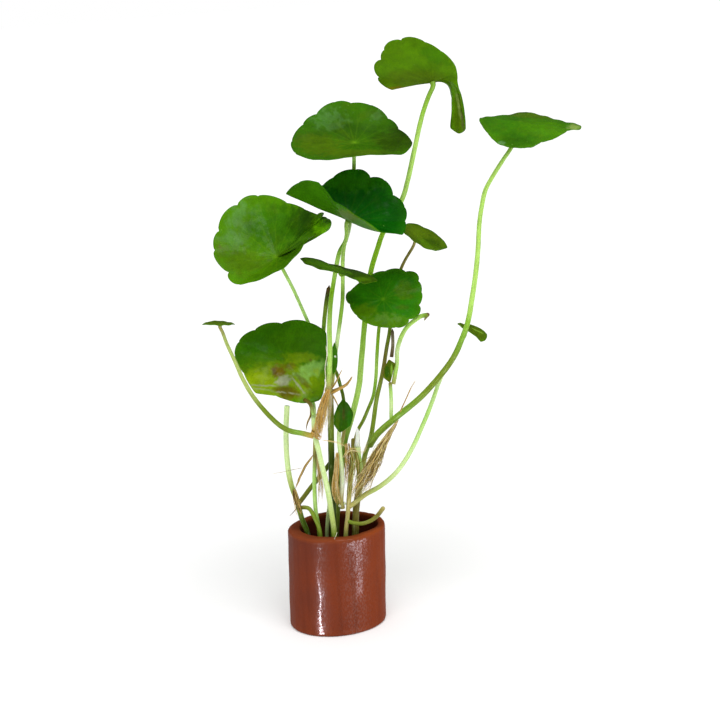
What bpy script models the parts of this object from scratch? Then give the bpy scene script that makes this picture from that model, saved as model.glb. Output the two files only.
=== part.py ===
"""Whorled pennywort: a bunch of rooted stems with round leaves, standing in a fired clay ring.

A standalone Blender 4.5 script. Every piece is a closed solid at its real size, in metres, +Z up.
The origin is at the height of the clay ring's foot, under the middle of the plant's whole width
and depth, and -Y is the side that the plant shows.

The plant grew freely, so its places come from a front picture of it, 720 points across and 717
down. A place is written as (across, down, depth): where it is seen in that picture, and how many
millimetres it lies behind the axis of the ring. Thicknesses and radii are real millimetres.
"""

import math
from dataclasses import dataclass

import bmesh
import bpy
from mathutils import Matrix, Vector

MM = 0.001

# The middle of the ring's foot, in mm: the plant leans out to the right of it.
RING_PLACE = Vector((-26.8, 0.8, 0.0))

# The front picture: where it is seen from, in mm, and how its points fan out from there.
PICTURE_MIDDLE = (360.0, 358.5)
PICTURE_FOCAL_POINTS = 1740.0
EYE = RING_PLACE + Vector((14.3, -534.4, 202.4))
EYE_PITCH = math.radians(12.3)
EYE_ROLL = math.radians(4.5)

# The clay ring: a short length of extruded pipe, sawn a little out of square. Its bore runs off the
# middle, so that the wall is thickest at the front left.
RING_OUTER_RADIUS = 15.6
RING_BORE_RADIUS = 12.6
RING_WALL_SHIFT = Vector((0.6, 0.0, 0.0))
RING_BORE_SHIFT = Vector((1.4, 0.7, 0.0))
RING_HEIGHT = 32.0
RING_LEAN = 2.0
RING_EDGE_ROUND = 0.9
RING_FACETS = 36

# The leaves: thin blades, each with its lobes along the margin.
LEAF_THICKNESS = 0.45
LEAF_RINGS = 3
LOBE_SHAPE = 0.6
SPOKES_PER_LOBE = 3
SMALL_LEAF_SPOKES_PER_LOBE = 2

# The stems and roots: how far a route turns or runs between two points, and the gap at a joint.
STEM_TURN = math.radians(11)
STEM_LONGEST_STEP = 10.0
STEM_BEVEL_RESOLUTION = 1
ROOT_BEVEL_RESOLUTION = 0
ROOT_TURN = math.radians(15)
ROOT_LONGEST_STEP = 6.0
FINE_STEPS = 12
NECK_LENGTH = 0.8
TOUCH_GAP = 0.3


@dataclass(frozen=True)
class Finish:
    """A plain surface finish for the solids."""

    name: str
    colour: tuple
    roughness: float


CLAY = Finish("fired_clay", (0.22, 0.062, 0.030, 1.0), 0.45)
BLADE = Finish("leaf_green", (0.075, 0.20, 0.012, 1.0), 0.40)
DARK_BLADE = Finish("leaf_dark_green", (0.018, 0.09, 0.008, 1.0), 0.38)
DECAYED_BLADE = Finish("leaf_decaying", (0.12, 0.19, 0.010, 1.0), 0.30)
STALK = Finish("stalk_green", (0.30, 0.46, 0.10, 1.0), 0.38)
OLD_STALK = Finish("stalk_olive", (0.16, 0.24, 0.045, 1.0), 0.42)
PALE_STALK = Finish("stalk_pale", (0.55, 0.62, 0.30, 1.0), 0.36)
DEAD_STALK = Finish("stalk_dead", (0.06, 0.05, 0.015, 1.0), 0.60)
ROOT_BROWN = Finish("root_brown", (0.30, 0.17, 0.07, 1.0), 0.70)


@dataclass(frozen=True)
class Leaf:
    """A peltate blade, held from below at its hub.

    The margin is given by the notches between its lobes, anticlockwise seen from the upper face.
    A fourth number at a notch is the crest of the lobe that starts there, as a share of its
    width. A waist is where the spoke to a numbered notch passes half-way, if not on its own bend.
    """

    name: str
    hub: tuple
    margin: tuple
    crest: float = 0.14
    flatness: float = 0.5
    waists: tuple = ()
    finish: Finish = BLADE
    spokes_per_lobe: int = SPOKES_PER_LOBE


@dataclass(frozen=True)
class Stalk:
    """A round stem or leaf stalk along a route from its upper end to its lower end."""

    name: str
    top_diameter: float
    foot_diameter: float
    route: tuple
    finish: Finish = STALK
    carries: str = ""


@dataclass(frozen=True)
class Root:
    """A tapering root or tuft of roots, from where it starts to its tip."""

    name: str
    diameter: float
    tip_diameter: float
    route: tuple


LEAVES = (
    Leaf(
        "leaf_top",
        hub=(432.5, 82.0, 0.0),
        margin=(
            (392, 89.5, 1, 0.2), (379, 77, -4, 0.32), (381, 59.5, -7, 0.15), (384, 50, -8, 0.26),
            (401, 40, -8, 0.2), (425, 42, -6, 0.06), (441, 51, -5, 0.06), (455, 65, -2, 0.05),
            (457.5, 80, 1, 0.0), (461.5, 107, 2, 0.04), (466, 128, 3, 0.15), (459, 133.5, 4, 0.12),
            (450.5, 128, 6, 0.0), (452, 98, 8, 0.0), (446, 76, 12, 0.0), (420, 68, 12), (400, 76, 9),
        ),
        waists=(
            (8, (447, 78, 1)), (9, (455, 84, 2)), (10, (456, 86, 3)), (11, (455, 86, 3)),
            (12, (451, 85.5, 5)), (13, (448, 84.5, 5)),
        ),
        flatness=0.8,
    ),
    Leaf(
        "leaf_wide",
        hub=(354.5, 143.0, 6.0),
        margin=(
            (411.5, 141, 4, 0.06), (398.5, 129, 10, 0.1), (388, 118.5, 15), (370, 105, 19, 0.08),
            (351, 103, 21), (335, 102, 20), (316.5, 114, 16), (303, 124.5, 12, 0.08),
            (292, 141, 6), (295.5, 152.5, 0), (311.5, 159, -6), (333, 159.3, -11, 0.06),
            (357, 155.8, -12, 0.0), (380, 154.5, -10, 0.06), (401.5, 154.3, -5),
        ),
        crest=0.12,
    ),
    Leaf(
        "leaf_cupped",
        hub=(348.0, 220.5, -6.0),
        margin=(
            (402.5, 234.3, -8, 0.1), (405, 221, -3), (404.5, 207, 0), (393, 195, 1), (384, 180, 2),
            (370.5, 177.5, 2, 0.22), (355, 170, 2), (333, 177.5, 1, 0.05), (323, 185, 0, 0.0),
            (300, 190, -4, 0.0), (286, 193.5, -9, 0.05), (299, 182.5, -15), (319, 182.5, -19, 0.05),
            (334, 201, -22, 0.05), (355, 214.5, -22, 0.05), (381, 232, -17, 0.05),
        ),
        finish=DARK_BLADE,
        flatness=0.75,
    ),
    Leaf(
        "leaf_small_right",
        hub=(417.0, 237.0, 2.0),
        margin=(
            (447.5, 247.2, 2), (438, 235.5, 6), (424, 227.5, 8), (411, 223, 7), (403, 227, 3),
            (405, 233.5, -2), (414, 241, -4), (424.5, 247.5, -3, 0.15), (437, 250.3, -1),
        ),
        crest=0.08,
        spokes_per_lobe=SMALL_LEAF_SPOKES_PER_LOBE,
    ),
    Leaf(
        "leaf_left",
        hub=(277.0, 257.0, -4.0),
        margin=(
            (328, 218.5, 0, 0.05), (322.5, 216.5, -1, 0.25), (317.5, 214.5, -6, 0.0),
            (304, 209, -2, 0.05), (287, 203, 3, 0.12), (258, 196, 6, 0.2), (237.5, 205, 4, 0.2),
            (219, 231, 0, 0.17), (215, 250, -4, 0.18), (229, 272, -10, 0.3), (239, 284, -13, 0.12),
            (262, 278.5, -18, 0.07), (285, 267, -20, 0.07), (299, 252, -19, 0.05),
            (308.5, 237, -14, 0.0), (329, 230, -4, 0.2),
        ),
        waists=((0, (305, 238, -10)), (15, (304, 244, -11)), (1, (302, 236, -9))),
    ),
    Leaf(
        "leaf_edgewise",
        hub=(341.0, 270.5, -15.0),
        margin=(
            (377.5, 280.5, -15), (368, 274, -11), (346, 268, -9), (329, 263.5, -9),
            (313, 258, -11), (300.2, 258.2, -15), (305, 263.5, -18), (320, 269, -21),
            (338, 272.5, -22), (352, 278, -22), (364, 283.5, -19),
        ),
        crest=0.06,
        spokes_per_lobe=SMALL_LEAF_SPOKES_PER_LOBE,
    ),
    Leaf(
        "leaf_round",
        hub=(383.0, 299.5, -3.0),
        margin=(
            (421.5, 292, 0), (418.5, 281, 3, 0.35), (405.5, 271.5, 5, 0.17), (385, 271, 6),
            (367, 278.5, 4, 0.04), (350.5, 290.5, 0, 0.24), (350, 304, -5), (356.5, 315, -7),
            (378, 326, -10, 0.09), (396, 327, -10, 0.25), (409, 319, -8, 0.28), (419, 305, -4),
        ),
        crest=0.12,
        finish=DARK_BLADE,
    ),
    Leaf(
        "leaf_decaying",
        hub=(286.0, 361.0, 4.0),
        margin=(
            (326.5, 355, 1, 0.03), (326, 333, 4, 0.08), (308, 322.5, 9, 0.12),
            (281.5, 323.5, 11, 0.14), (255, 330, 9, 0.14), (239, 342, 7, 0.12),
            (235, 355, 4, 0.08), (244, 373, 0, 0.06), (256, 393, -3, 0.03),
            (276, 395.5, -4, 0.06), (299, 402.5, -4, 0.1), (320, 399.5, -3), (324.5, 380, -1, 0.05),
        ),
        crest=0.1,
        finish=DECAYED_BLADE,
    ),
    Leaf(
        "leaf_far_right",
        hub=(520.0, 121.5, 2.0),
        margin=(
            (579, 129.5, 1, 0.25), (578.5, 124.5, 4, 0.05), (567, 122.3, 9, 0.0),
            (554, 119, 12, 0.03), (540, 115, 15, 0.03), (526, 111.8, 16, 0.03),
            (509, 114.8, 14, 0.0), (492, 116.3, 9, 0.0), (480.5, 117.8, 3, 0.1),
            (480, 121.5, 0, 0.05), (485, 129.5, -4, 0.05), (490.5, 136.5, -6, 0.08),
            (499, 144, -9, 0.08), (509, 147, -11, 0.08), (523, 147.8, -12, 0.1),
            (532, 147, -11.5, 0.1), (541, 141.8, -10, 0.12), (554, 138.2, -8, 0.06), (567, 130.6, -3, 0.0),
        ),
        spokes_per_lobe=SMALL_LEAF_SPOKES_PER_LOBE,
    ),
    Leaf(
        "leaf_behind_stalk",
        hub=(468.0, 328.0, 5.0),
        margin=(
            (485.5, 340, 5), (487, 334, 7), (477, 326.5, 9), (464, 324, 8), (457.5, 323.5, 5),
            (463, 328, 2), (472.5, 333.5, 1, 0.0), (481, 341.5, 3),
        ),
        crest=0.08,
        finish=DARK_BLADE,
        spokes_per_lobe=SMALL_LEAF_SPOKES_PER_LOBE,
    ),
    Leaf(
        "leaf_tiny_left",
        hub=(220.0, 323.5, -6.0),
        margin=(
            (235, 324, -6), (228, 322, -3), (219, 320.8, -2), (209, 321.5, -3), (202, 324.5, -6),
            (209, 324.5, -9), (220, 325.5, -10), (229, 325, -9),
        ),
        crest=0.03,
        spokes_per_lobe=SMALL_LEAF_SPOKES_PER_LOBE,
    ),
    Leaf(
        "leaf_folded_low",
        hub=(343.5, 417.0, -8.0),
        margin=(
            (353, 413, -9), (348, 404, -9), (343, 399, -8), (338, 406, -9), (334.5, 415, -10),
            (334.5, 425, -10), (340, 432.5, -9), (350, 425.5, -9),
        ),
        crest=0.06,
        finish=DARK_BLADE,
        spokes_per_lobe=SMALL_LEAF_SPOKES_PER_LOBE,
    ),
    Leaf(
        "bract_low",
        hub=(334.3, 357.0, -3.4),
        margin=(
            (337.3, 352, -3), (334.5, 342.5, -3.2), (331.8, 349, -3.6), (331.6, 362, -3.6),
            (333.2, 375, -3.4), (336.9, 368, -3.2),
        ),
        crest=0.05,
        spokes_per_lobe=SMALL_LEAF_SPOKES_PER_LOBE,
    ),
    Leaf(
        "leaf_young",
        hub=(389.5, 371.0, -3.0),
        margin=(
            (395.5, 364, -3), (389, 359.5, -3), (384.5, 368, -3.5), (384, 378, -4),
            (390, 382.5, -4), (393, 371, -3.5),
        ),
        crest=0.05,
        finish=DARK_BLADE,
        spokes_per_lobe=SMALL_LEAF_SPOKES_PER_LOBE,
    ),
)

STALKS = (
    Stalk(
        "stalk_top", 1.6, 2.2, carries="leaf_top",
        route=(
            (428.8, 96, 0), (422.3, 115, 0), (414.4, 150, 1), (407.8, 180, 3), (402.2, 199, 5),
            (383, 233, 8), (377.7, 248, 9), (371, 271, 9.5), (367, 300, 8.2), (364.5, 325, 6),
            (361, 365, 5), (359, 386, 4.5), (351.6, 417.7, 4), (345, 440, 4), (341, 470, 4),
            (338, 500, 4), (336, 530, 4), (336, 612, 4),
        ),
    ),
    Stalk(
        "stalk_wide", 1.2, 1.6, carries="leaf_wide",
        route=(
            (354.2, 152, 5.5), (353.9, 169, 6), (351.5, 200, 6), (349.5, 225, 5), (345.5, 241, 3),
            (339.5, 252, 0), (335, 274, -0.5), (331, 300, -2), (329.5, 325, -4), (330, 355, -5),
            (328.6, 388.4, -4.8),
        ),
    ),
    Stalk(
        "stem_main", 1.9, 2.3,
        route=(
            (328.9, 389.9, -4.7), (330.5, 401, -3.7), (331, 435, -3), (331.5, 460, -3),
            (332, 485, -4), (333, 530, -4.5), (334, 612, -4.5),
        ),
        finish=OLD_STALK,
    ),
    Stalk(
        "stalk_cupped", 1.2, 1.3, carries="leaf_cupped",
        route=(
            (346.5, 235, -6), (344, 247, -6), (342.8, 260, -5), (342.8, 284, -4),
            (342.4, 301, -4), (339.8, 323, -3), (337, 343, -1.8), (334, 365, -1.5), (331.8, 387, -2.4),
        ),
    ),
    Stalk(
        "stalk_small_right", 0.9, 2.0, carries="leaf_small_right",
        route=(
            (413.8, 245, 3), (401.3, 268, 9), (393, 300, 8), (389.5, 332, 3), (386.7, 347.5, 1.5),
            (382.8, 372, 0), (376.5, 400, -1), (373, 424.7, -1.5), (370.2, 439.5, -1.5),
            (365, 455, -1.5), (362.6, 470.6, -1.5), (358, 500, -1.5), (355, 530, -1.5),
            (353, 612, -1.5),
        ),
        finish=OLD_STALK,
    ),
    Stalk(
        "stalk_left", 1.1, 1.2, carries="leaf_left",
        route=(
            (282.5, 268.5, -4), (287.5, 278, -2), (293.2, 289, 3), (300, 304, 9),
            (306.7, 319, 14), (314, 335, 15.5), (321, 350, 14), (330, 363, 10.5),
            (336.2, 372.4, 7.5), (340.4, 386, 4), (343.5, 399, 1), (344, 430, 0), (338, 460, 0.5),
            (330, 500, 1), (327, 530, 1), (327, 612, 1),
        ),
    ),
    Stalk(
        "stalk_round", 1.1, 1.2, carries="leaf_round",
        route=(
            (382.5, 305, 1.5), (381, 315, 3), (379, 328, 3.5), (376.8, 358, 3), (375.8, 379, 3),
            (373, 396.7, 3), (368, 409.3, 2.5), (363.2, 420.5, 2), (358.2, 429.6, 2), (354, 445, 2.5),
            (350, 475, 3), (348, 505, 3), (347, 530, 3), (346, 612, 3),
        ),
    ),
    Stalk(
        "stalk_edgewise", 0.8, 1.0, carries="leaf_edgewise",
        route=(
            (347, 274.5, -11), (353, 277, -6), (357, 279, 1), (360.5, 283, 6), (363, 290, 6.4),
            (362, 300, 5.5), (362.5, 309, 5.2),
        ),
    ),
    Stalk(
        "stalk_far_right", 1.2, 2.1, carries="leaf_far_right",
        route=(
            (518.5, 132, 2), (511, 148, 1), (503, 160, 0), (493.5, 175, 0), (485.5, 190, 0),
            (481.5, 208, 0), (479.3, 224, 0), (478, 249.6, -1), (475.5, 275, -1), (471.7, 300.6, -2),
            (467.6, 323, -3), (461.5, 340, -3.5), (453.5, 357.4, -4), (439.5, 376.5, -4.5),
            (419, 398.7, -5), (396.6, 417, -5), (378.2, 433.2, -5), (373, 440.5, -4.5),
        ),
    ),
    Stalk(
        "stalk_behind_stalk", 1.2, 1.6, carries="leaf_behind_stalk",
        route=(
            (464.5, 336, 3), (460.5, 343, 2), (453.5, 357, 1), (444, 371.5, 0), (439.5, 381, -1),
            (433.3, 398.7, -2), (424.2, 421.7, -2), (410.4, 451.5, -3), (396.6, 472, -4),
            (380.5, 486, -5.5), (364.5, 495, -7), (352.9, 504.2, -7.6),
        ),
        finish=PALE_STALK,
    ),
    Stalk(
        "stalk_tiny_left", 1.0, 1.8, carries="leaf_tiny_left",
        route=(
            (222, 331, -6), (226.5, 343, -6), (234.8, 361, -6), (242.3, 378, -6.5),
            (251.4, 394, -7), (261.3, 407, -7), (272, 418.6, -7), (282, 427, -7), (290.4, 431, -7),
            (302.8, 433.5, -7), (310.6, 435.5, -7.4),
        ),
        finish=OLD_STALK,
    ),
    Stalk(
        "stalk_decaying", 1.6, 1.8, carries="leaf_decaying",
        route=(
            (289.5, 369, 9.5), (298, 381, 8.5), (308, 394, 5), (313, 405, 1), (313.7, 418, -3.5),
            (315, 436, -8),
            (318.3, 449, -9), (321.3, 463, -9), (325, 478, -9), (329, 497, -9), (332, 516.5, -9.6),
            (334, 531, -10.2), (335, 612, -10.3),
        ),
        finish=PALE_STALK,
    ),
    Stalk(
        "stub_left", 1.7, 1.7,
        route=(
            (287, 406, -3), (286, 434, -3), (287.6, 465, -3), (291, 484, -3), (297, 501, -2.5),
            (302, 519, -3.5), (307.5, 533, -4.3), (309, 550, -4.5), (309.5, 612, -4.5),
        ),
        finish=PALE_STALK,
    ),
    Stalk(
        "stem_short_dark", 1.5, 1.5,
        route=((331, 462, 0.8), (322, 474, 1), (312, 486, 0.3), (300.7, 501, -1.2)),
        finish=OLD_STALK,
    ),
    Stalk(
        "stem_arched", 1.3, 1.4,
        route=(
            (302, 507.5, -3.7), (309, 508.4, -5.5), (312.9, 514, -6.8), (316.7, 522, -7.5),
            (319.8, 531, -7.8), (321, 612, -7.8),
        ),
        finish=OLD_STALK,
    ),
    Stalk(
        "stem_pale", 1.3, 1.3,
        route=(
            (315, 440.7, -7), (314.8, 459, -5), (314.4, 478, -4.5), (314.8, 497, -4.5),
            (316, 513, -4.5), (319, 530, -4.2), (321, 612, -4.2),
        ),
        finish=PALE_STALK,
    ),
    Stalk(
        "stalk_folded_low", 1.3, 1.5, carries="leaf_folded_low",
        route=(
            (339, 434, -6.6), (340.4, 455, -6.5), (342, 471, -6.5), (342.4, 486, -6.5),
            (341.2, 500, -6.5), (342.7, 508, -6),
        ),
        finish=PALE_STALK,
    ),
    Stalk(
        "stem_rooting", 1.2, 1.5,
        route=(
            (353, 440, -3.5), (352.3, 459, -4), (351, 471, -4.5), (350.4, 486, -5.5),
            (349, 501, -8), (347.3, 519, -8), (346, 530, -8), (345, 612, -8),
        ),
        finish=PALE_STALK,
    ),
    Stalk(
        "shoot_over_rim", 1.4, 1.2,
        route=(
            (383, 508.5, -6), (376.5, 516.5, -7), (368, 522, -8), (360.3, 523.7, -8.3),
            (350.5, 522.2, -8.2),
        ),
        finish=OLD_STALK,
    ),
    Stalk(
        "stump_cut", 2.1, 2.2,
        route=(
            (357.3, 447, -5), (357.7, 455, -5), (358.8, 463, -5), (360.3, 477, -5),
            (359, 490, -4.6), (356.5, 505, -4.7), (355.5, 530, -5.5), (355, 612, -5.5),
        ),
        finish=STALK,
    ),
    Stalk(
        "stalk_young", 1.2, 1.2,
        route=((390.3, 383.9, -3.9), (391.2, 400, -3), (391.2, 416.6, -3.6)),
        finish=PALE_STALK,
    ),
    Stalk(
        "shoot_curled", 1.4, 1.4,
        route=(
            (427, 315, -5), (421.5, 316, -5), (414.6, 320.4, -4.5), (406.6, 327.6, -4),
            (400.6, 338.5, -3), (397.2, 351, -1.8), (397, 362, -1.2), (393.4, 384, -2.6),
        ),
    ),
    Stalk(
        "sheath_dry", 1.0, 1.2,
        route=((392.5, 332, 1.5), (392.8, 345, 1), (391.5, 357, 0.5)),
        finish=DEAD_STALK,
    ),
    Stalk(
        "stub_dead", 1.4, 1.2,
        route=(
            (328.5, 289.5, 3), (326.5, 300.7, 3.5), (325, 313, 4.5), (323.8, 326, 7.2),
            (323, 345, 8), (324.5, 362, 6), (327, 377, 2), (329.5, 387, -0.9),
        ),
        finish=DEAD_STALK,
    ),
)

ROOTS = (
    Root(
        "roots_main_node", 1.4, 0.5,
        route=((327, 391, -6.6), (323, 404, -6.5), (320, 420, -7.5), (319, 432, -9.8)),
    ),
    Root(
        "roots_main_spur", 1.0, 0.3,
        route=((333.4, 391, -4.9), (338.4, 389, -5.5), (348.6, 383, -6.5), (352.7, 376.5, -7)),
    ),
    Root(
        "roots_right_tuft", 0.4, 1.0,
        route=(
            (396.5, 421.5, -6.3), (388.6, 435, -7.5), (379.7, 449, -7.5), (374, 466, -7.5),
            (368, 480, -7.5), (363, 490.5, -9),
        ),
    ),
    Root(
        "root_right_tail", 0.4, 0.2,
        route=((399.6, 413, -6.3), (405.8, 399, -8), (412, 386, -8.5), (418.4, 376, -8.5)),
    ),
    Root(
        "root_left_long", 0.5, 0.3,
        route=(
            (313.6, 455, -9.3), (309, 461, -9), (304.5, 467.5, -8.5), (297.6, 483, -6), (295, 489, -4),
        ),
    ),
    Root(
        "root_left_hair", 0.3, 0.2,
        route=((301.7, 468.5, -8.3), (291.5, 470, -8.5), (280, 472.5, -8.5), (270, 474, -8.5)),
    ),
)


def place(across: float, down: float, depth: float) -> Vector:
    """Point in mm that is seen at a place of the front picture, at a depth behind the axis."""
    shift_x = across - PICTURE_MIDDLE[0]
    shift_y = down - PICTURE_MIDDLE[1]
    level_x = shift_x * math.cos(EYE_ROLL) - shift_y * math.sin(EYE_ROLL)
    level_y = shift_x * math.sin(EYE_ROLL) + shift_y * math.cos(EYE_ROLL)
    forward = Vector((0.0, math.cos(EYE_PITCH), -math.sin(EYE_PITCH)))
    upward = Vector((0.0, math.sin(EYE_PITCH), math.cos(EYE_PITCH)))
    sideways = Vector((level_x, 0.0, 0.0))
    ray = forward + (sideways - upward * level_y) / PICTURE_FOCAL_POINTS
    return EYE + ray * ((RING_PLACE.y + depth - EYE.y) / ray.y)


def material(finish: Finish) -> bpy.types.Material:
    """Principled material of a finish, made once."""
    found = bpy.data.materials.get(finish.name)
    if found:
        return found
    made = bpy.data.materials.new(finish.name)
    made.use_nodes = True
    shader = made.node_tree.nodes["Principled BSDF"]
    shader.inputs["Base Color"].default_value = finish.colour
    shader.inputs["Roughness"].default_value = finish.roughness
    shader.inputs["Metallic"].default_value = 0.0
    made.diffuse_color = finish.colour
    return made


def add_object(name: str, data: bpy.types.ID, finish: Finish) -> bpy.types.Object:
    """Object in the scene, with its finish."""
    data.materials.append(material(finish))
    made = bpy.data.objects.new(name, data)
    bpy.context.scene.collection.objects.link(made)
    return made


def speed_at(before: Vector, spot: Vector, after: Vector) -> tuple:
    """Direction of a curve through three points, and the parameter lengths on each side."""
    lead = math.sqrt((spot - before).length)
    trail = math.sqrt((after - spot).length)
    slope = (spot - before) / lead - (after - before) / (lead + trail) + (after - spot) / trail
    return slope, lead, trail


def smooth_path(points: list, turn: float, longest: float) -> list:
    """Points on a smooth curve through the given ones, closer together where it bends."""
    ends = [points[0] * 2 - points[1]] + points + [points[-1] * 2 - points[-2]]
    fine = []
    for before, start, stop, after in zip(ends, ends[1:], ends[2:], ends[3:]):
        leaving, _, span = speed_at(before, start, stop)
        arriving, _, _ = speed_at(start, stop, after)
        for index in range(FINE_STEPS):
            t = index / FINE_STEPS
            fine.append(
                start * (2 * t ** 3 - 3 * t ** 2 + 1)
                + leaving * span * (t ** 3 - 2 * t ** 2 + t)
                + stop * (3 * t ** 2 - 2 * t ** 3)
                + arriving * span * (t ** 3 - t ** 2)
            )
    fine.append(points[-1])
    kept = [fine[0]]
    heading = fine[1] - fine[0]
    for spot, following in zip(fine[1:], fine[2:]):
        bent = heading.angle(following - spot, 0.0)
        if bent > turn or (spot - kept[-1]).length > longest:
            kept.append(spot)
            heading = following - spot
    if (fine[-1] - kept[-1]).length < 0.2 * longest and len(kept) > 2:
        kept.pop()
    kept.append(fine[-1])
    return kept


def add_tube(name: str, path: list, diameters: list, finish: Finish, resolution: int) -> None:
    """Round solid along a path, with its own diameter at every point."""
    curve = bpy.data.curves.new(name, "CURVE")
    curve.dimensions = "3D"
    curve.bevel_depth = 0.5 * MM
    curve.bevel_resolution = resolution
    curve.use_fill_caps = True
    spline = curve.splines.new("POLY")
    spline.points.add(len(path) - 1)
    for point, spot, diameter in zip(spline.points, path, diameters):
        point.co = (*(spot * MM), 1.0)
        point.radius = diameter
    add_object(name, curve, finish)


def leaf_frame(leaf: Leaf) -> tuple:
    """Hub, margin notches and upward unit normal of a leaf, in mm."""
    hub = place(*leaf.hub)
    notches = [place(*spot[:3]) for spot in leaf.margin]
    normal = Vector()
    for start, stop in zip(notches, notches[1:] + notches[:1]):
        normal += (start - hub).cross(stop - hub)
    return hub, notches, normal.normalized()


def blade_waists(leaf: Leaf, hub: Vector, notches: list, normal: Vector) -> list:
    """Half-way point of the spoke to each notch."""
    own = dict(leaf.waists)
    waists = []
    for index, notch in enumerate(notches):
        if index in own:
            waists.append(place(*own[index]))
            continue
        rise = normal * (notch - hub).dot(normal)
        waists.append(hub + (notch - hub - rise) * 0.5 + rise * (1 + leaf.flatness) / 4)
    return waists


def knee_of(hub: Vector, waist: Vector, rim: Vector) -> Vector:
    """Control point of the bend that runs from the hub past its waist to the margin."""
    return waist * 2 - (hub + rim) / 2


def blade_spokes(leaf: Leaf, hub: Vector, notches: list, waists: list) -> list:
    """Half-way point and margin point of every spoke, the same number of spokes on every lobe."""
    spokes = []
    for index, start in enumerate(notches):
        after = (index + 1) % len(notches)
        stop = notches[after]
        spot = leaf.margin[index]
        crest = spot[3] if len(spot) > 3 else leaf.crest
        outward = ((start + stop) * 0.5 - hub).normalized()
        swell = outward * crest * (stop - start).length
        for step in range(leaf.spokes_per_lobe):
            t = step / leaf.spokes_per_lobe
            bulge = swell * math.sin(math.pi * t) ** LOBE_SHAPE
            waist = waists[index].lerp(waists[after], t) + bulge / 2
            spokes.append((waist, start.lerp(stop, t) + bulge))
    return spokes


def blade_point(hub: Vector, waist: Vector, rim: Vector, reach: float) -> Vector:
    """Point of a spoke, a share of the way from the hub to the margin."""
    knee = knee_of(hub, waist, rim)
    return hub * (1 - reach) ** 2 + knee * 2 * reach * (1 - reach) + rim * reach ** 2


def stalk_socket(leaf: Leaf, radius: float) -> tuple:
    """Upper end of a leaf's stalk, just under the blade, and the direction it leaves in."""
    hub, notches, normal = leaf_frame(leaf)
    waists = blade_waists(leaf, hub, notches, normal)
    spokes = blade_spokes(leaf, hub, notches, waists)
    starts = [blade_point(hub, *spoke, 1 / LEAF_RINGS) - hub for spoke in spokes]
    upward = Vector()
    for start, stop in zip(starts, starts[1:] + starts[:1]):
        upward += start.cross(stop)
    upward.normalize()
    slopes = [-start.dot(upward) / (start - upward * start.dot(upward)).length for start in starts]
    droop = max(0.0, *slopes)
    wall = LEAF_THICKNESS / 2 * math.hypot(1.0, droop)
    return hub - upward * (wall + TOUCH_GAP + radius * droop), -upward


def add_leaf(leaf: Leaf) -> None:
    """Thin lobed blade from its hub to its margin."""
    hub, notches, normal = leaf_frame(leaf)
    waists = blade_waists(leaf, hub, notches, normal)
    spokes = blade_spokes(leaf, hub, notches, waists)
    shape = bmesh.new()
    centre = shape.verts.new(hub * MM)
    inner = None
    for ring in range(1, LEAF_RINGS + 1):
        reach = ring / LEAF_RINGS
        verts = [shape.verts.new(blade_point(hub, *spoke, reach) * MM) for spoke in spokes]
        count = len(verts)
        for index in range(count):
            after = (index + 1) % count
            if inner is None:
                shape.faces.new((centre, verts[index], verts[after]))
            else:
                shape.faces.new((inner[index], verts[index], verts[after], inner[after]))
        inner = verts
    mesh = bpy.data.meshes.new(leaf.name)
    shape.to_mesh(mesh)
    shape.free()
    mesh.shade_smooth()
    blade = add_object(leaf.name, mesh, leaf.finish)
    wall = blade.modifiers.new("thickness", "SOLIDIFY")
    wall.thickness = LEAF_THICKNESS * MM
    wall.offset = 0.0


def add_stalk(stalk: Stalk, leaves: dict) -> None:
    """Stem or leaf stalk, which stops just short of the leaf that it carries."""
    route = [place(*spot) for spot in stalk.route]
    if stalk.carries:
        top, away = stalk_socket(leaves[stalk.carries], stalk.top_diameter / 2)
        route = [top, top + away * NECK_LENGTH] + route
    path = smooth_path(route, STEM_TURN, STEM_LONGEST_STEP)
    last = len(path) - 1
    diameters = [
        stalk.top_diameter + (stalk.foot_diameter - stalk.top_diameter) * index / last
        for index in range(len(path))
    ]
    add_tube(stalk.name, path, diameters, stalk.finish, STEM_BEVEL_RESOLUTION)


def add_root(root: Root) -> None:
    """Tapering root."""
    path = smooth_path([place(*spot) for spot in root.route], ROOT_TURN, ROOT_LONGEST_STEP)
    last = len(path) - 1
    diameters = [
        root.diameter + (root.tip_diameter - root.diameter) * index / last
        for index in range(len(path))
    ]
    add_tube(root.name, path, diameters, ROOT_BROWN, ROOT_BEVEL_RESOLUTION)


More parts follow.
